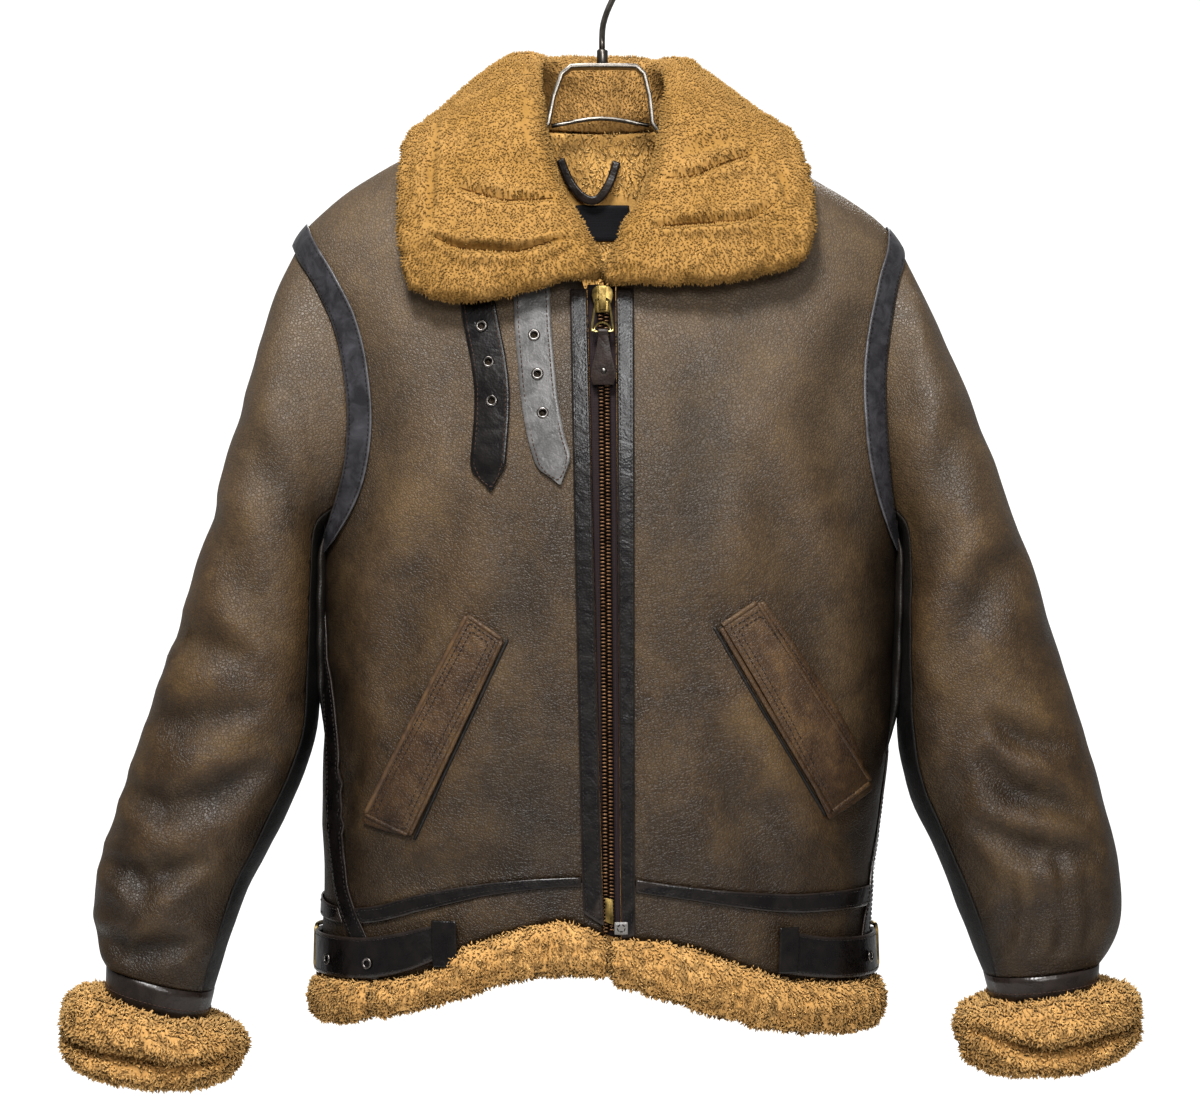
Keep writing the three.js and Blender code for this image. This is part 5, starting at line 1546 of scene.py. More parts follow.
class JACKET_OT_finishes(bpy.types.Operator):
    """Makes every material."""

    bl_idname = "jacket.finishes"
    bl_label = "Finishes"

    def execute(self, context):
        sizes = context.scene.jacket
        grain = sizes.grain / MM
        # Shearling leather, drum-dyed and rubbed by hand: cloudy browns with a soft gloss
        make_leather("Dyed sheepskin", "#2A1D0E", sizes.leather, "#4C3A21", (0.4, 0.55), grain, 0.6, 46)
        # The same skin where it was folded for the pockets, a little warmer
        make_leather("Dyed sheepskin welt", "#2E1D0D", "#44301B", "#5A4327", (0.38, 0.52), grain, 0.5, 34)
        # The same skin, near black, as painted shade: on the under sleeves, in the slack under the arms
        # and along the pockets' mouths
        make_leather("Dark sheepskin", "#070504", "#0F0B08", "#1C1510", (0.5, 0.65), grain, 0.4, 40)
        # Finished cowhide, smooth and nearly black, with a soft shine
        make_edged_leather("Black cowhide", "#080606", sizes.trim, "#2A231F", (0.22, 0.38), 0.2)
        # The same on the armholes, where the light finish has worn grey
        make_edged_leather("Slate cowhide", "#1E1D1F", "#38373A", "#4C4A4B", (0.26, 0.42), 0.15)
        # The same in a paler grey, where the finish has rubbed off
        make_edged_leather("Grey cowhide", "#3D3C3B", "#5B5958", "#6A6764", (0.24, 0.4), 0.2)
        # Oiled leather of the zip's pull: brown, open-pored
        make_edged_leather("Oiled leather", "#130B07", "#21150F", "#38291E", (0.34, 0.5), 0.4)
        # The raw cut edge of the sheepskin, tan where the dye did not reach
        make_edged_leather("Raw edge", "#33251A", "#543F26", "#4E3B25", (0.5, 0.65), 0.3)
        # Short ironed wool: velvety, amber
        make_wool("Ironed wool", "#5C431F", sizes.wool, "#86683E", "#C8A468", 34, 9, 0.84)
        # Curled wool: the same, left in its locks and paler at the tips
        make_wool("Curled wool", "#6E522F", sizes.curls, "#AC8A5A", "#D8BA84", 16, 6.5, 0.55)
        # Wool of the lining, flattened and in the shade, painted paler to stand in for light inside the
        # neck
        make_wool("Lining wool", "#8A6A3A", "#B08B54", "#C8A56E", "#E2C28A", 18, 11, 0.7)
        # The shadowed bottom of a sewn channel in the wool
        make_wool("Channel wool", "#3C2810", "#583C18", "#6C4C22", "#6A4C22", 12, 9, 0.9)
        # Solid brass, tarnished
        make_metal("Tarnished brass", sizes.brass, "#453A21", (0.25, 0.45), 1.2)
        make_metal("Brass wire", "#9C8E62", "#6E6036", (0.2, 0.36), 1.0)
        # Copper-plated teeth, browned by age
        make_metal("Browned copper", "#523F2F", "#2A1F17", (0.38, 0.54), 0.8)
        # Blackened nickel eyelets
        make_metal("Blackened nickel", "#6A6663", "#2A2826", (0.25, 0.42), 1.0)
        # Drawn steel of the hanger, dulled by handling
        make_metal("Drawn steel", "#57534E", "#413E3A", (0.26, 0.36), 6.0)
        make_weave("Zip tape cotton", "#191213", "#231B1D", 0.9, 0.8)
        make_weave("Black label satin", "#0B0A0C", "#151417", 0.8, 0.6)
        # Waxed thread, dark brown
        make_weave("Waxed thread", "#0C0908", "#1A1411", 0.5, 0.5)
        make_weave("Brown thread", "#2A1B14", "#3B2A20", 0.5, 0.55)
        make_stage_paint("Studio paper", "#FAFAF9")
        return {"FINISHED"}


class JACKET_OT_body(bpy.types.Operator):
    """Makes the fronts, the back and the hem panels of the jacket's body."""

    bl_idname = "jacket.body"
    bl_label = "Body"

    def execute(self, context):
        fronts_and_back = ("front_right", "front_left", "back")
        hem_panels = ("hem_panel_right", "hem_panel_left", "hem_panel_back")
        for name in fronts_and_back + hem_panels:
            piece = on_body(f"{name}_skin", name, 2, 1.0, "hide", "Dyed sheepskin", "Lining wool")
        return {"FINISHED"}


class JACKET_OT_sleeves(bpy.types.Operator):
    """Makes the top and under pieces of both sleeves, with their creases."""

    bl_idname = "jacket.sleeves"
    bl_label = "Sleeves"

    def execute(self, context):
        for side in SIDES:
            for part, level in (("top_sleeve", 3), ("under_sleeve", 2)):
                source = f"{part}_{side}"
                piece = softened(f"{source}_skin", source, level, 1.0)
                points = places(piece.data)
                radial = points - arm_axis(points, side)
                store(piece.data, "outer", np.sum(facings(piece.data) * radial, 1) > 0)
                applied(piece)
                points = places(piece.data)
                outer = stored(piece.data, "outer")
                radial = points - arm_axis(points, side)
                # The sleeve is flatter from front to back than it is wide
                radial[:, 1] *= 1.4
                radial /= np.linalg.norm(radial, axis=1, keepdims=True)
                x, y, z = points.T
                front = radial[:, 1] < 0
                facing = np.clip(np.abs(radial[:, 1]) * 1.6, 0, 1)
                relief = np.zeros(len(x))
                for arm, face, line, depth, half, ridge in SLEEVE_FOLDS:
                    if arm == side:
                        shown = front == (face == "front")
                        relief += np.where(shown, fold(x, z, line, depth, half, ridge), 0)
                relief = relief * facing + waves(points, 48, 5) * 1.8
                # No fold reaches the armhole, the cuff or the body
                ends = np.clip((-z - 250) / 60, 0, 1) * np.clip((z + 785) / 22, 0, 1)
                beside_body = np.clip((np.abs(x) - 212) / 12, 0, 1)
                relief = np.clip(relief, -DEEPEST_FOLD, DEEPEST_FOLD) * outer * ends * beside_body
                move_to(piece.data, points + radial * relief[:, None])
                # The side of the sleeve that lies towards the body, below the armhole, is painted darker
                # as shade
                towards_body = np.clip((-np.sign(x) * radial[:, 0] - 0.45) / 0.5, 0, 1)
                shaded = towards_body * np.clip((-z - 340) / 90, 0, 1)
                store(piece.data, "fold", relief - SLEEVE_SHADE * shaded)
                smooth(piece.data)
                # The under sleeve is in the near-black leather that paints shade
                skin = "Dyed sheepskin" if part == "top_sleeve" else "Dark sheepskin"
                paint(piece, "Lining wool", skin)
                assign(piece.data, outer)
                finish_piece(piece, "hide", source)
            underarm_shade_slack(side)
        return {"FINISHED"}


def underarm_shade_slack(side):
    """The slack of the under sleeve, which lies between the sleeve and the body's side, in near-black
    leather as painted shade.
    """
    sign = 1 if side == "left" else -1
    levels = np.linspace(-428, -628 if side == "left" else -612, 40)
    skins = [bpy.data.objects[f"{part}_{side}_skin"] for part in ("top_sleeve", "under_sleeve")]
    sleeve = np.concatenate([places(skin.data) for skin in skins])
    rings = []
    shape = bmesh.new()
    for i, z in enumerate(levels):
        near = sleeve[(np.abs(sleeve[:, 2] - z) < 9) & (np.abs(sleeve[:, 1] + 8) < 26)]
        edge = np.percentile(near[:, 0] * sign, 1)
        level = np.array([z])
        body = read(BODY_RINGS, HALF, level)[0] + sign * read(BODY_RINGS, MIDDLE, level)[0]
        share = i / (len(levels) - 1)
        fade = math.sin(math.pi * (0.04 + 0.93 * share)) ** 0.45
        inner = body - 2.5
        outer = inner + (max(edge + 2.5, inner + 3) - inner) * (1 if share < 0.75 else (1 - share) * 4)
        middle = (inner + outer) / 2
        wide = (outer - inner) / 2 * fade
        deep = (26 - 10 * share + 2 * math.sin(i * 0.9)) * fade
        ring = []
        for c in range(20):
            turn = 2 * math.pi * c / 20
            x = sign * (middle + wide * math.cos(turn))
            y = -4 + deep * math.sin(turn)
            ring.append(shape.verts.new((x * MM, y * MM, z * MM)))
        rings.append(ring)
    join_rings(shape, rings)
    name = f"underarm_fold_{side}"
    return dress(show(name, mesh_of(shape, name)), "Dark sheepskin", "hide")


class JACKET_OT_tapes(bpy.types.Operator):
    """Makes the seam tapes, the zip's facings and end tab, the hem straps and their chapes."""

    bl_idname = "jacket.tapes"
    bl_label = "Tapes and hem straps"

    def execute(self, context):
        names = [f"waist_tape_{n}" for n in ("right", "left", "back")]
        for side in SIDES:
            names += [f"side_tape_{side}", f"zip_facing_{side}", f"armhole_tape_{side}"]
            names += [f"hem_strap_{side}", f"hem_chape_{side}"]
        for name in names:
            finish = "Slate cowhide" if name.startswith("armhole") else "Black cowhide"
            on_body(f"{name}_leather", name, 2, 0.85, "trim", finish)
        on_body("zip_end_tab_leather", "zip_end_tab", 2, 0.85, "grey_trim", "Grey cowhide")
        on_body("zip_tape_cotton", "zip_tape", 2, 1.0, "zip_cloth", "Zip tape cotton")
        for side in SIDES:
            source = f"pocket_welt_{side}"
            welt = on_body(f"{source}_leather", source, 3, 0.6, "hide", WELT_LEATHER)
            top = np.percentile(stored(welt.data, "out"), 90)
            for name, base, half, material, line in WELT_RIMS[side]:
                stations = [(x, z, half) for x, z in line]
                base = top - RIM_SINK if base == "top" else MOUTH_LEVEL
                mesh = strap_mesh(name, stations, base, RIM_SECTION, steps=60, folded=True)
                dress(show(f"welt_{side}_{name}", mesh), material, "hide")
            mesh = strap_mesh("keeper", KEEPERS[side], KEEPER_LEVEL, steps=24)
            dress(show(f"hem_keeper_{side}", mesh), "Black cowhide", "trim")
        return {"FINISHED"}


# Sections of strips: share across, and height over the under side
STRAP_SECTION = (
    (-0.93, 0.0), (-1.0, 0.5), (-1.0, 1.9), (-0.93, 2.4), (-0.8, 2.3), (-0.4, 2.45), (0, 2.5),
    (0.4, 2.45), (0.8, 2.3), (0.93, 2.4), (1.0, 1.9), (1.0, 0.5), (0.93, 0.0), (0, 0.0),
)
RIM_SECTION = (
    (-1.0, -0.5), (-1.0, 0.5), (-0.7, 1.15), (0, 1.5), (0.7, 1.15), (1.0, 0.5), (1.0, -0.5), (0, -0.6),
)


def strap_mesh(name, stations, base=REST_GAP, section=STRAP_SECTION, lift=0.0, steps=72, folded=False):
    """A flat strip with rounded edges, laid on the front along its stations of x, z and half width."""
    rows = np.array(stations, float)
    keys = np.linspace(0, len(rows) - 1, steps)
    indexed = np.column_stack([np.arange(len(rows)), rows])
    x = read(indexed, 1, keys)
    z = read(indexed, 2, keys)
    half = np.interp(keys, np.arange(len(rows)), rows[:, 2])
    way = np.stack([np.gradient(x), np.gradient(z)], 1)
    way /= np.linalg.norm(way, axis=1, keepdims=True)
    raised = base + lift * (1 + np.sin(keys * 1.9 + x[0])) * np.sin(np.pi * keys / keys[-1])
    points = []
    for share, high in section:
        across = share * half
        row = lay(x - way[:, 1] * across, z + way[:, 0] * across, raised + high)
        points.append(settle(row, raised + high + body_relief(row)) if folded else row)
    grid = np.stack(points, 1)
    shape = bmesh.new()
    edge = shape.verts.layers.float.new("edge")
    corners = []
    for row in grid:
        made = [shape.verts.new(p * MM) for p in row]
        for corner, (share, _) in zip(made, section):
            corner[edge] = abs(share) ** 6
        corners.append(made)
    join_rings(shape, corners)
    return mesh_of(shape, name)


def punch(piece, spots, radius):
    """Cuts round holes square to the body at the spots."""
    shape = bmesh.new()
    for spot in spots:
        up = Vector(outward(spot[None])[0])
        turn = up.to_track_quat("Z", "Y").to_matrix().to_4x4()
        turn.translation = Vector(spot * MM)
        bmesh.ops.create_cone(
            shape,
            cap_ends=True,
            segments=20,
            radius1=radius * MM,
            radius2=radius * MM,
            depth=16 * MM,
            matrix=turn,
        )
    cutter = show("punch", mesh_of(shape, "punch"))
    hole = piece.modifiers.new("holes", "BOOLEAN")
    hole.operation = "DIFFERENCE"
    hole.object = cutter
    hole.solver = "EXACT"
    applied(piece)
    put_away(cutter)


class JACKET_OT_collar_straps(bpy.types.Operator):
    """Makes the two straps under the collar and every eyelet."""

    bl_idname = "jacket.collar_straps"
    bl_label = "Collar straps and eyelets"

    def execute(self, context):
        sizes = context.scene.jacket
        spots = []
        for name, slot, material in (
            ("outer", "trim", "Black cowhide"),
            ("inner", "grey_trim", "Grey cowhide"),
        ):
            source = f"collar_strap_{name}"
            piece = show(f"{source}_leather", strap_mesh(source, COLLAR_STRAPS[name], lift=0.5))
            x, z = np.array(COLLAR_STRAP_EYELETS[name], float).T
            places_here = lay(x, z, REST_GAP + STRAP_THICK + 0.5)
            punch(piece, places_here, EYELET_HOLE)
            spots.append(places_here)
            dress(piece, material, slot, source)
        rim = ring_part("eyelet_pattern", EYELET_OUTER, EYELET_INNER, EYELET_HIGH)
        nodes = [f"{n}_strap_eyelet_{i}" for n in COLLAR_STRAPS for i in (1, 2, 3)]
        shape = bmesh.new()
        for group in spots:
            for spot in group:
                self.stamp(shape, rim.data, spot + outward(spot[None])[0] * 0.1)
        for side in SIDES:
            x, z = np.array(HEM_STRAP_EYELETS[side], float).T
            for spot in lay(x, z, HEM_STRAP_TOP):
                self.stamp(shape, rim.data, spot)
        put_away(rim)
        dress(show("eyelets", mesh_of(shape, "eyelets")), "Blackened nickel", "eyelet_metal", *nodes)
        lines = []
        for name in COLLAR_STRAPS:
            lines += inset_lines(f"collar_strap_{name}", STRAP_SEAM)
        # The short lines are those of the eyelets' holes, which have no stitches
        lines = [line for line in lines if len(line) > 60]
        sew("collar_strap_stitches", lines, "Brown thread", sizes, lift=0.35)
        return {"FINISHED"}

    def stamp(self, shape, pattern, spot):
        """Adds a copy of a pattern, square to the body."""
        turn = Vector(outward(spot[None])[0]).to_track_quat("Z", "Y").to_matrix().to_4x4()
        turn.translation = Vector(spot * MM)
        start = len(shape.verts)
        shape.from_mesh(pattern)
        shape.verts.ensure_lookup_table()
        bmesh.ops.transform(shape, matrix=turn, verts=shape.verts[start:])


def wool_base(name, source, relief, material):
    """The body of a fleece piece: its node made finer, with lumps and grooves pressed in and painted
    shade in its hollows and grooves.
    """
    piece = applied(softened(name, source, 3, 0.0))
    points = places(piece.data)
    normals = facings(piece.data)
    height, low = relief(points, normals)
    move_to(piece.data, points + normals * height[:, None])
    # The tip value paints shade: paler on the lumps, darker in the hollows and grooves
    store(piece.data, "tip", np.clip(0.35 + height * 0.08 - low, 0, 1))
    store(piece.data, "tone", np.full(len(points), 0.5))
    return dress(piece, material, "fleece", source)


def collar_relief(points, normals):
    """Lumps and sewn grooves of the collar, and how much painted shade darkens the grooves."""
    x, _, z = points.T
    front = np.clip(-normals[:, 1] * 2.2 + 0.25, 0, 1)
    total = np.zeros(len(x))
    for line, depth, half, ridge in COLLAR_GROOVES:
        total += fold(x, z, line, depth, half, ridge)
    rim = np.clip(np.maximum(np.abs(x) - 112, -232 - z) / 14, 0, 1)
    lumps = waves(points, 24, 1) * 1.4 + waves(points, 8, 2) * (0.5 + 1.3 * rim)
    return total * front + lumps, np.clip(-total * front * 0.1, 0, 0.5)


class JACKET_OT_collar(bpy.types.Operator):
    """Makes the wool collar with its sewn grooves and its pile."""

    bl_idname = "jacket.collar"
    bl_label = "Collar"

    def execute(self, context):
        sizes = context.scene.jacket
        base = wool_base("collar_wool", "collar", collar_relief, "Ironed wool")
        mesh = base.data
        points = places(mesh)
        x, _, z = points.T
        # The wool of the two ends is pressed together above the slider
        near = np.clip(1 - np.abs(x) / 60, 0, 1) * np.clip((-208 - z) / 20, 0, 1)
        x -= np.sign(x) * np.clip(np.abs(x) - 0.8, 0, 12 * near)
        move_to(mesh, points)
        grooves = np.zeros(len(points))
        for line, depth, _, _ in COLLAR_GROOVES:
            away, _ = distance_to_line(x, z, line)
            grooves = np.maximum(grooves, (away < 1.4) * (depth > 5) + 0.6 * np.exp(-((away / 3) ** 2)))
        # The underside of the fall lies on the body and has no pile
        normals = facings(mesh)
        away_from_body = np.sum(normals * outward(points), 1)
        hidden = (away_from_body < -0.5) & (distance_out(points) > 0) & (np.abs(x) > 50)
        store(mesh, "pile", np.where(hidden, 0, np.clip(1 - grooves * 1.3, 0, 1)))
        # Painted light: the wool inside the neck, which lies in shade, is made paler
        inside = np.clip((points[:, 1] - 5) / 20, 0, 1) * np.clip((66 - np.abs(x)) / 12, 0, 1)
        inside *= normals[:, 1] < 0
        store(mesh, "pale", inside * 2.2)
        store(mesh, "tone", 0.5 + inside * 2.2)
        # The skin under the pile is painted paler, against the shade between the locks
        store(mesh, "tip", np.clip(stored(mesh, "tip") + 0.25, 0, 1))
        lock = lock_of_wool("lock_pattern", 2.9, 1.1, 3, 1, 0.4, 0.8)
        pile_on(
            "collar_pile",
            mesh,
            lock,
            "Ironed wool",
            {
                "Spacing": sizes.pile_spacing,
                "Unevenness": 0.4,
                "Hang": 0.15,
                "Smallest": 0.7,
                "Largest": 1.15,
                "Seed": 4,
            },
        )
        put_away(lock)
        channels = [line for line, depth, _, _ in COLLAR_GROOVES if depth > 5]
        dress(show("collar_channels", channel_mesh(base, channels)), "Channel wool", "fleece")
        return {"FINISHED"}


def channel_mesh(base, lines, half=0.9, step=2.0):
    """Thin dark rolls pressed into a wool piece's front along lines of x and z."""
    tree = BVHTree.FromObject(base, bpy.context.evaluated_depsgraph_get())
    shape = bmesh.new()
    for line in lines:
        keys = np.array(line, float)
        rows = np.column_stack([np.arange(len(keys)), keys])
        length = np.sum(np.hypot(*np.diff(keys, axis=0).T))
        at = np.linspace(0, len(keys) - 1, max(8, int(length / step)))
        x = read(rows, 1, at)
        z = read(rows, 2, at)
        rings = []
        for i in range(len(at)):
            hit, _, _, _ = tree.ray_cast(Vector((x[i] * MM, -0.4, z[i] * MM)), Vector((0, 1, 0)))
            if hit is None:
                continue
            fade = half * math.sin(math.pi * (0.06 + 0.88 * i / (len(at) - 1))) ** 0.5
            ring = []
            for c in range(6):
                turn = 2 * math.pi * c / 6
                out = Vector((0.25 * math.cos(turn), 0.8 * math.sin(turn), math.cos(turn)))
                ring.append(shape.verts.new(hit + out * fade * MM))
            rings.append(ring)
        join_rings(shape, rings)
    return mesh_of(shape, "channels")


def curl_relief(points, normals):
    """Lumps of curled wool, which is nowhere darker."""
    lumps = waves(points, 16, 6) * 1.6 + waves(points, 7, 8) * 1.7
    return lumps, np.zeros(len(points))


def cuff_relief(side):
    """The relief of one cuff: lumps and the groove of its fold, with painted shade in the groove."""

    def relief(points, normals):
        x, _, z = points.T
        facing = np.clip(np.abs(normals[:, 1]) * 2, 0, 1)
        groove = fold(x, z, CUFF_GROOVES[side], *CUFF_GROOVE_SHAPE) * facing
        lumps, low = curl_relief(points, normals)
        return lumps + groove, low + np.clip(-groove * 0.08, 0, 0.4)

    return relief


class JACKET_OT_curls(bpy.types.Operator):
    """Makes the turned-out fleece of the hem and the cuffs, in curled locks."""

    bl_idname = "jacket.curls"
    bl_label = "Hem and cuff fleece"

    def execute(self, context):
        sizes = context.scene.jacket
        lock = lock_of_wool("curl_pattern", 4.2, 0.95, 3, 2, 0.9, 0.6)
        jobs = [(f"hem_fleece_{n}", curl_relief, 1.0) for n in ("right", "left", "back")]
        jobs += [(f"cuff_fleece_{side}", cuff_relief(side), 1.15) for side in SIDES]
        for seed, (source, relief, size) in enumerate(jobs):
            base = wool_base(f"{source}_wool", source, relief, "Curled wool")
            points = places(base.data)
            if source.startswith("cuff"):
                # The cuff's bore has no curls, and neither has the bottom of its groove
                x, y, z = points.T
                away = np.hypot(x - np.median(x), y - CUFF_MIDDLE_Y)
                outside = np.clip((away - CUFF_BORE) / 4, 0, 1)
                away, _ = distance_to_line(x, z, CUFF_GROOVES[source.split("_")[-1]])
                outside *= np.where(away < 1.2, 0.0, 1.0)
            else:
                outside = np.clip((distance_out(points) + 9) / 3, 0, 1)
            store(base.data, "pile", outside)
            pile_on(
                f"{source}_curls",
                base.data,
                lock,
                "Curled wool",
                {
                    "Spacing": sizes.curl_spacing,
                    "Unevenness": 0.5,
                    "Hang": 0.35,
                    "Smallest": 0.75 * size,
                    "Largest": 1.2 * size,
                    "Seed": 20 + seed,
                },
            )
        put_away(lock)
        return {"FINISHED"}


class JACKET_OT_cuff_bands(bpy.types.Operator):
    """Makes the leather bands above the cuffs."""

    bl_idname = "jacket.cuff_bands"
    bl_label = "Cuff bands"

    def execute(self, context):
        for side in SIDES:
            source = f"cuff_band_{side}"
            piece = applied(softened(f"{source}_leather", source, 2, 0.9))
            dress(piece, "Black cowhide", "trim", source)
            self.sew_round(context.scene.jacket, piece, side)
        return {"FINISHED"}

    def sew_round(self, sizes, band, side):
        """A row of stitches round the band, in its lower third."""
        points = places(band.data)
        middle_x = points[:, 0].mean()
        middle_y = points[:, 1].mean()
        tilt, level = np.polyfit(points[:, 0] - middle_x, points[:, 2], 1)
        tall = np.ptp(points[:, 2] - tilt * (points[:, 0] - middle_x))
        tree = BVHTree.FromObject(band, bpy.context.evaluated_depsgraph_get())
        line = []
        ups = []
        # Each point is found from this far out, looking in, in the band's own tilted plane
        away = 120
        for turn in np.linspace(0, 2 * math.pi, 90, endpoint=False):
            side_way = away * math.cos(turn)
            out = Vector((side_way, away * math.sin(turn), side_way * tilt))
            start = Vector((middle_x, middle_y, level - tall * 0.2)) + out
            hit, normal, _, _ = tree.ray_cast(start * MM, -out.normalized())
            if hit is None:
                raise RuntimeError(f"the stitches miss {band.name}")
            line.append(np.array(hit) / MM + np.array(normal) * 0.15)
            ups.append(np.array(normal))
        name = f"cuff_band_{side}_stitches"
        base = line_mesh(name, [np.array(line)], [np.array(ups)], False)
        stitches_on(name, base, "Brown thread", sizes)


def tooth_part(name, side):
    """One zip tooth: a small bar with a raised head towards the middle."""
    shape = bmesh.new()
    rings = []
    for y, long, high in ((0.2, 0.95, 0.35), (1.2, 0.9, 0.75), (3.4, 0.8, 0.7), (4.2, 0.6, 0.3)):
        section = ((-1, -2.6), (-0.8, high * 0.7), (0, high), (0.8, high * 0.7), (1, -2.6))
        ring = [shape.verts.new((x * long * MM, y * side * MM, z * MM)) for x, z in section]
        rings.append(ring)
    join_rings(shape, rings)
    return show(name, mesh_of(shape, name))


def hard_copy(name, source, slot, material, body=COAT, bevel=0.25):
    """A hard part's own shape with softened edges and smooth shading."""
    piece = show(name, mesh_of(copy_of(source), name))
    if bevel:
        rounding = piece.modifiers.new("edges", "BEVEL")
        rounding.width = bevel * MM
        rounding.segments = 2
        rounding.limit_method = "ANGLE"
        rounding.angle_limit = math.radians(38)
    applied(piece)
    smooth(piece.data)
    piece.data.set_sharp_from_angle(angle=math.radians(42))
    paint(piece, material)
    return finish_piece(piece, slot, source, body=body)


class JACKET_OT_zip(bpy.types.Operator):
    """Makes the zip's teeth, slider, bail, pull and box."""

    bl_idname = "jacket.zip"
    bl_label = "Zip"

    def execute(self, context):
        sizes = context.scene.jacket
        step = sizes.tooth_step / MM
        # The teeth of the two sides stand between each other
        tops = {"right": TEETH_TOP, "left": TEETH_TOP - step / 2}
        for side, way in (("right", 1), ("left", -1)):
            z = np.arange(tops[side], TEETH_FOOT, -4.0)
            x = ZIP_LEAN * (ZIP_TOP - z) / (ZIP_TOP - ZIP_FOOT)
            line = lay(x, z, TEETH_LEVEL)
            name = f"zip_teeth_{side}"
            base = line_mesh(name, [line], [outward(line)], False)
            tooth = tooth_part("tooth_pattern", way)
            piece = set_along(name, base, tooth, sizes.tooth_step, "Browned copper")
            finish_piece(piece, "zip_metal", *(["zip_chain"] if side == "right" else []))
        hard_copy("zip_slider_brass", "zip_slider", "brass", "Tarnished brass")
        hard_copy("zip_box_brass", "zip_box", "brass", "Tarnished brass")
        hard_copy("zip_bail_wire", "zip_bail", "brass", "Brass wire", body="bail", bevel=0)
        hard_copy("zip_pull_leather", "zip_pull", "trim", "Oiled leather", body="pull", bevel=0.5)
        low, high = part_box("zip_pull")
        shape = bmesh.new()
        bmesh.ops.create_uvsphere(shape, u_segments=16, v_segments=8, radius=2.1 * MM)
        for corner in shape.verts:
            corner.co.y *= 0.5
            corner.co += Vector(((low.x + high.x) / 2 + 0.0004, low.y + 0.9 * MM, low.z + 10 * MM))
        rivet = show("zip_pull_rivet", mesh_of(shape, "zip_pull_rivet"))
        dress(rivet, "Blackened nickel", "eyelet_metal", body="pull")
        return {"FINISHED"}


class JACKET_OT_neck(bpy.types.Operator):
    """Makes the hanging loop, the plain label and the wool of the lining round them."""

    bl_idname = "jacket.neck"
    bl_label = "Neck"

    def execute(self, context):
        for source, slot, material in (
            ("hanger_loop", "trim", "Black cowhide"),
            ("neck_label", "label_cloth", "Black label satin"),
        ):
            piece = applied(softened(f"{source}_cloth", source, 2, 0.9))
            dress(piece, material, slot, source)
        back = bpy.data.objects["back_skin"].data
        points = places(back)
        x, _, z = points.T
        inside = stored(back, "out") < INNER_FACE
        near = (np.abs(x) < NECK_HALF) & (z < NECK_TOP) & (z > NECK_LOW)
        label = (np.abs(x) < LABEL_HALF) & (z < LABEL_TOP) & (z > LABEL_LOW)
        patch = back.copy()
        store(patch, "pile", (inside & near & ~label).astype(float))
        lock = lock_of_wool("lining_pattern", 4.2, 1.0, 3, 1, 0.6, 0.8)
        pile_on(
            "back_lining_pile",
            patch,
            lock,
            "Lining wool",
            {
                "Spacing": 1.7 * MM,
                "Unevenness": 0.9,
                "Hang": 0.4,
                "Smallest": 0.7,
                "Largest": 1.2,
                "Seed": 9,
            },
        )
        put_away(lock)
        return {"FINISHED"}


class JACKET_OT_hanger(bpy.types.Operator):
    """Makes the hanger's wire, band and ferrule, and the rings at the hem."""

    bl_idname = "jacket.hanger"
    bl_label = "Hanger and rings"

    def execute(self, context):
        hard_copy("hanger_hook_wire", "hanger_hook", "hanger_steel", "Drawn steel", bevel=0)
        hard_copy("hanger_rod_wire", "hanger_rod", "hanger_steel", "Drawn steel", bevel=0)
        hard_copy("hanger_ferrule_steel", "hanger_ferrule", "hanger_steel", "Drawn steel", bevel=0.3)
        hard_copy("hanger_band_steel", "hanger_band", "hanger_steel", "Drawn steel", bevel=0.4)
        for side in SIDES:
            source = f"hem_buckle_{side}"
            hard_copy(f"{source}_brass", source, "brass", "Tarnished brass", bevel=0)
        return {"FINISHED"}


class JACKET_OT_sewing(bpy.types.Operator):
    """Makes the rows of stitches on tapes, facings, welts and straps."""

    bl_idname = "jacket.sewing"
    bl_label = "Sewing"

    def execute(self, context):
        sizes = context.scene.jacket
        rows = {
            "tape": [
                *(f"waist_tape_{n}" for n in ("right", "left", "back")),
                *(f"side_tape_{s}" for s in SIDES),
            ],
            "facing": [f"zip_facing_{s}" for s in SIDES] + ["zip_end_tab"],
            "armhole": [f"armhole_tape_{s}" for s in SIDES],
            "hem_strap": [f"hem_strap_{s}" for s in SIDES],
        }
        for name, sources in rows.items():
            lines = []
            for source in sources:
                lines += inset_lines(source, TAPE_SEAM)
            sew(f"{name}_stitches", lines, "Waxed thread", sizes)
        lines = []
        for side in SIDES:
            for inset in WELT_SEAMS:
                lines += inset_lines(f"pocket_welt_{side}", inset)
        sew("welt_stitches", lines, "Waxed thread", sizes)
        return {"FINISHED"}


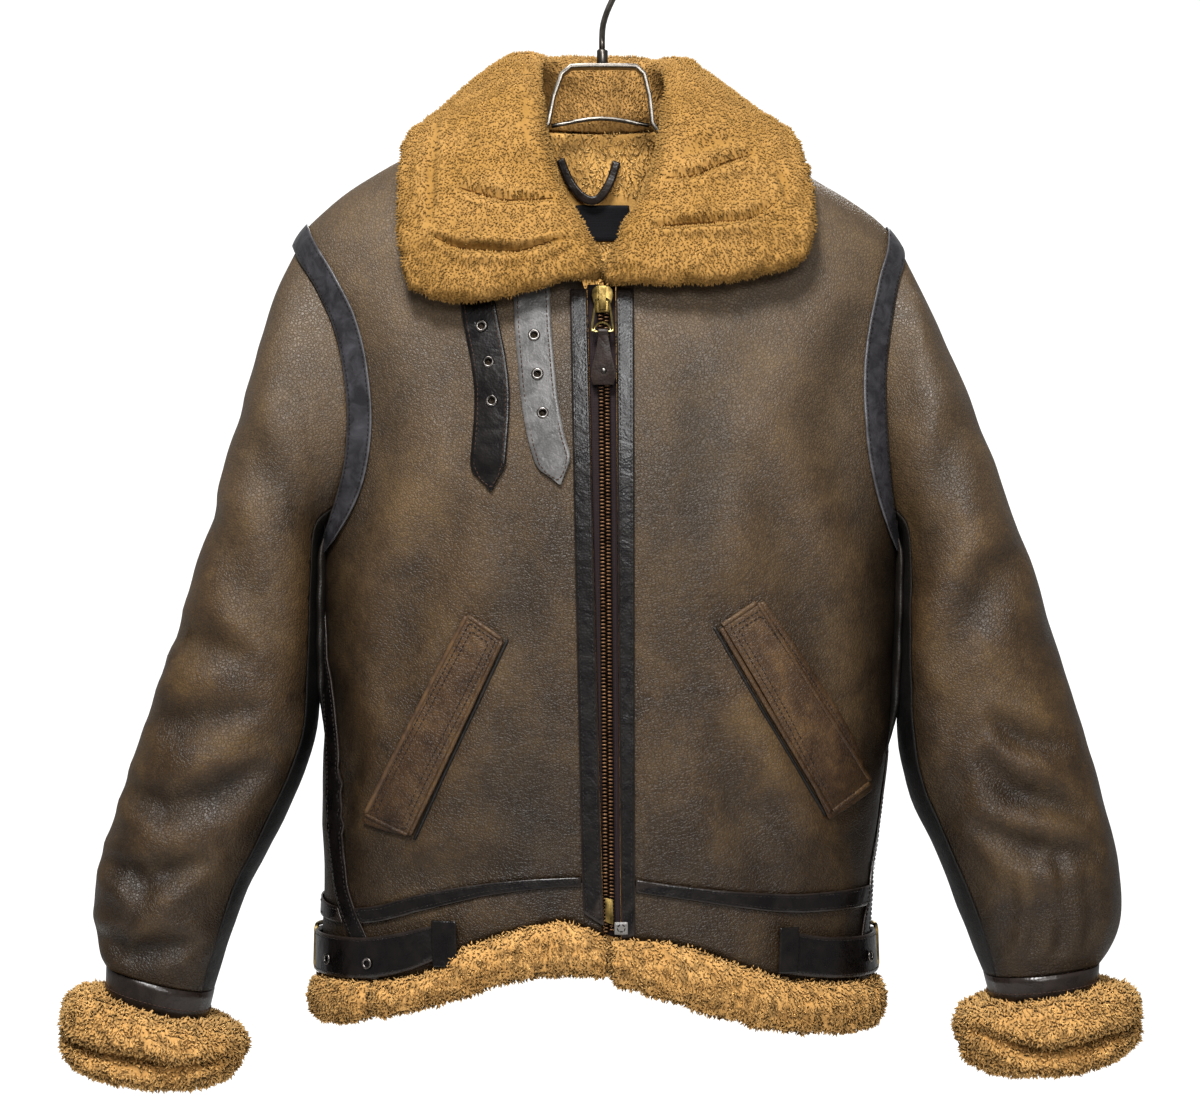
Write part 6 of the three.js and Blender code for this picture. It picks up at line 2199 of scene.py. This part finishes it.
class JACKET_OT_stage(bpy.types.Operator):
    """Makes the floor, the soft studio light and the camera."""

    bl_idname = "jacket.stage"
    bl_label = "Stage"

    def execute(self, context):
        scene = context.scene
        shape = bmesh.new()
        bmesh.ops.create_grid(shape, x_segments=8, y_segments=8, size=FLOOR_HALF)
        for corner in shape.verts:
            corner.co.z = FLOOR_LEVEL
        floor = show("floor", mesh_of(shape, "floor"))
        paint(floor, "Studio paper")
        world = bpy.data.worlds.new("Studio")
        world.use_nodes = True
        world.node_tree.nodes.clear()
        # The paper round the stage is white to the camera and lights the jacket at about half of that
        sight = node(world.node_tree, "ShaderNodeLightPath")
        strength = node(
            world.node_tree,
            "ShaderNodeMapRange",
            {"Value": sight.outputs["Is Camera Ray"], 1: 0.0, 2: 1.0, 3: 0.5, 4: 1.0},
        )
        glow = node(
            world.node_tree,
            "ShaderNodeBackground",
            {"Color": linear("#FFFFFF"), "Strength": strength.outputs[0]},
        )
        node(world.node_tree, "ShaderNodeOutputWorld", {"Surface": glow.outputs[0]})
        scene.world = world
        scene.view_settings.view_transform = "Standard"
        scene.view_settings.look = "Medium High Contrast"
        for name, place, size, power in LAMPS:
            lamp = bpy.data.lights.new(name, "AREA")
            lamp.shape = "DISK"
            lamp.size = size
            lamp.energy = power
            holder = bpy.data.objects.new(name, lamp)
            scene.collection.objects.link(holder)
            holder.location = place
            aim = Vector(LIT_PLACE) - holder.location
            holder.rotation_euler = aim.to_track_quat("-Z", "Y").to_euler()
        lens = bpy.data.cameras.new("camera")
        lens.sensor_width = 36
        lens.lens = CAMERA_LENS
        lens.clip_end = 100
        camera = bpy.data.objects.new("camera", lens)
        scene.collection.objects.link(camera)
        camera.location = CAMERA_PLACE
        camera.rotation_euler = (math.radians(90), 0, 0)
        scene.camera = camera
        return {"FINISHED"}


class JACKET_PT_panel(bpy.types.Panel):
    """Lists the jacket's sizes and the steps that make it."""

    bl_label = "Sheepskin jacket"
    bl_idname = "JACKET_PT_panel"
    bl_space_type = "VIEW_3D"
    bl_region_type = "UI"
    bl_category = "Jacket"

    def draw(self, context):
        for name in JacketSizes.__annotations__:
            self.layout.prop(context.scene.jacket, name)
        for step in STEPS:
            self.layout.operator(step.bl_idname)


STEPS = (
    JACKET_OT_finishes,
    JACKET_OT_stage,
    JACKET_OT_body,
    JACKET_OT_sleeves,
    JACKET_OT_tapes,
    JACKET_OT_collar_straps,
    JACKET_OT_collar,
    JACKET_OT_curls,
    JACKET_OT_cuff_bands,
    JACKET_OT_zip,
    JACKET_OT_neck,
    JACKET_OT_hanger,
    JACKET_OT_sewing,
)
CLASSES = (JacketSizes, *STEPS, JACKET_PT_panel)


def register():
    for kind in CLASSES:
        bpy.utils.register_class(kind)
    bpy.types.Scene.jacket = bpy.props.PointerProperty(type=JacketSizes)


def unregister():
    del bpy.types.Scene.jacket
    for kind in reversed(CLASSES):
        bpy.utils.unregister_class(kind)


def main():
    register()
    for step in STEPS:
        group, name = step.bl_idname.split(".")
        getattr(getattr(bpy.ops, group), name)()


if __name__ == "__main__":
    main()
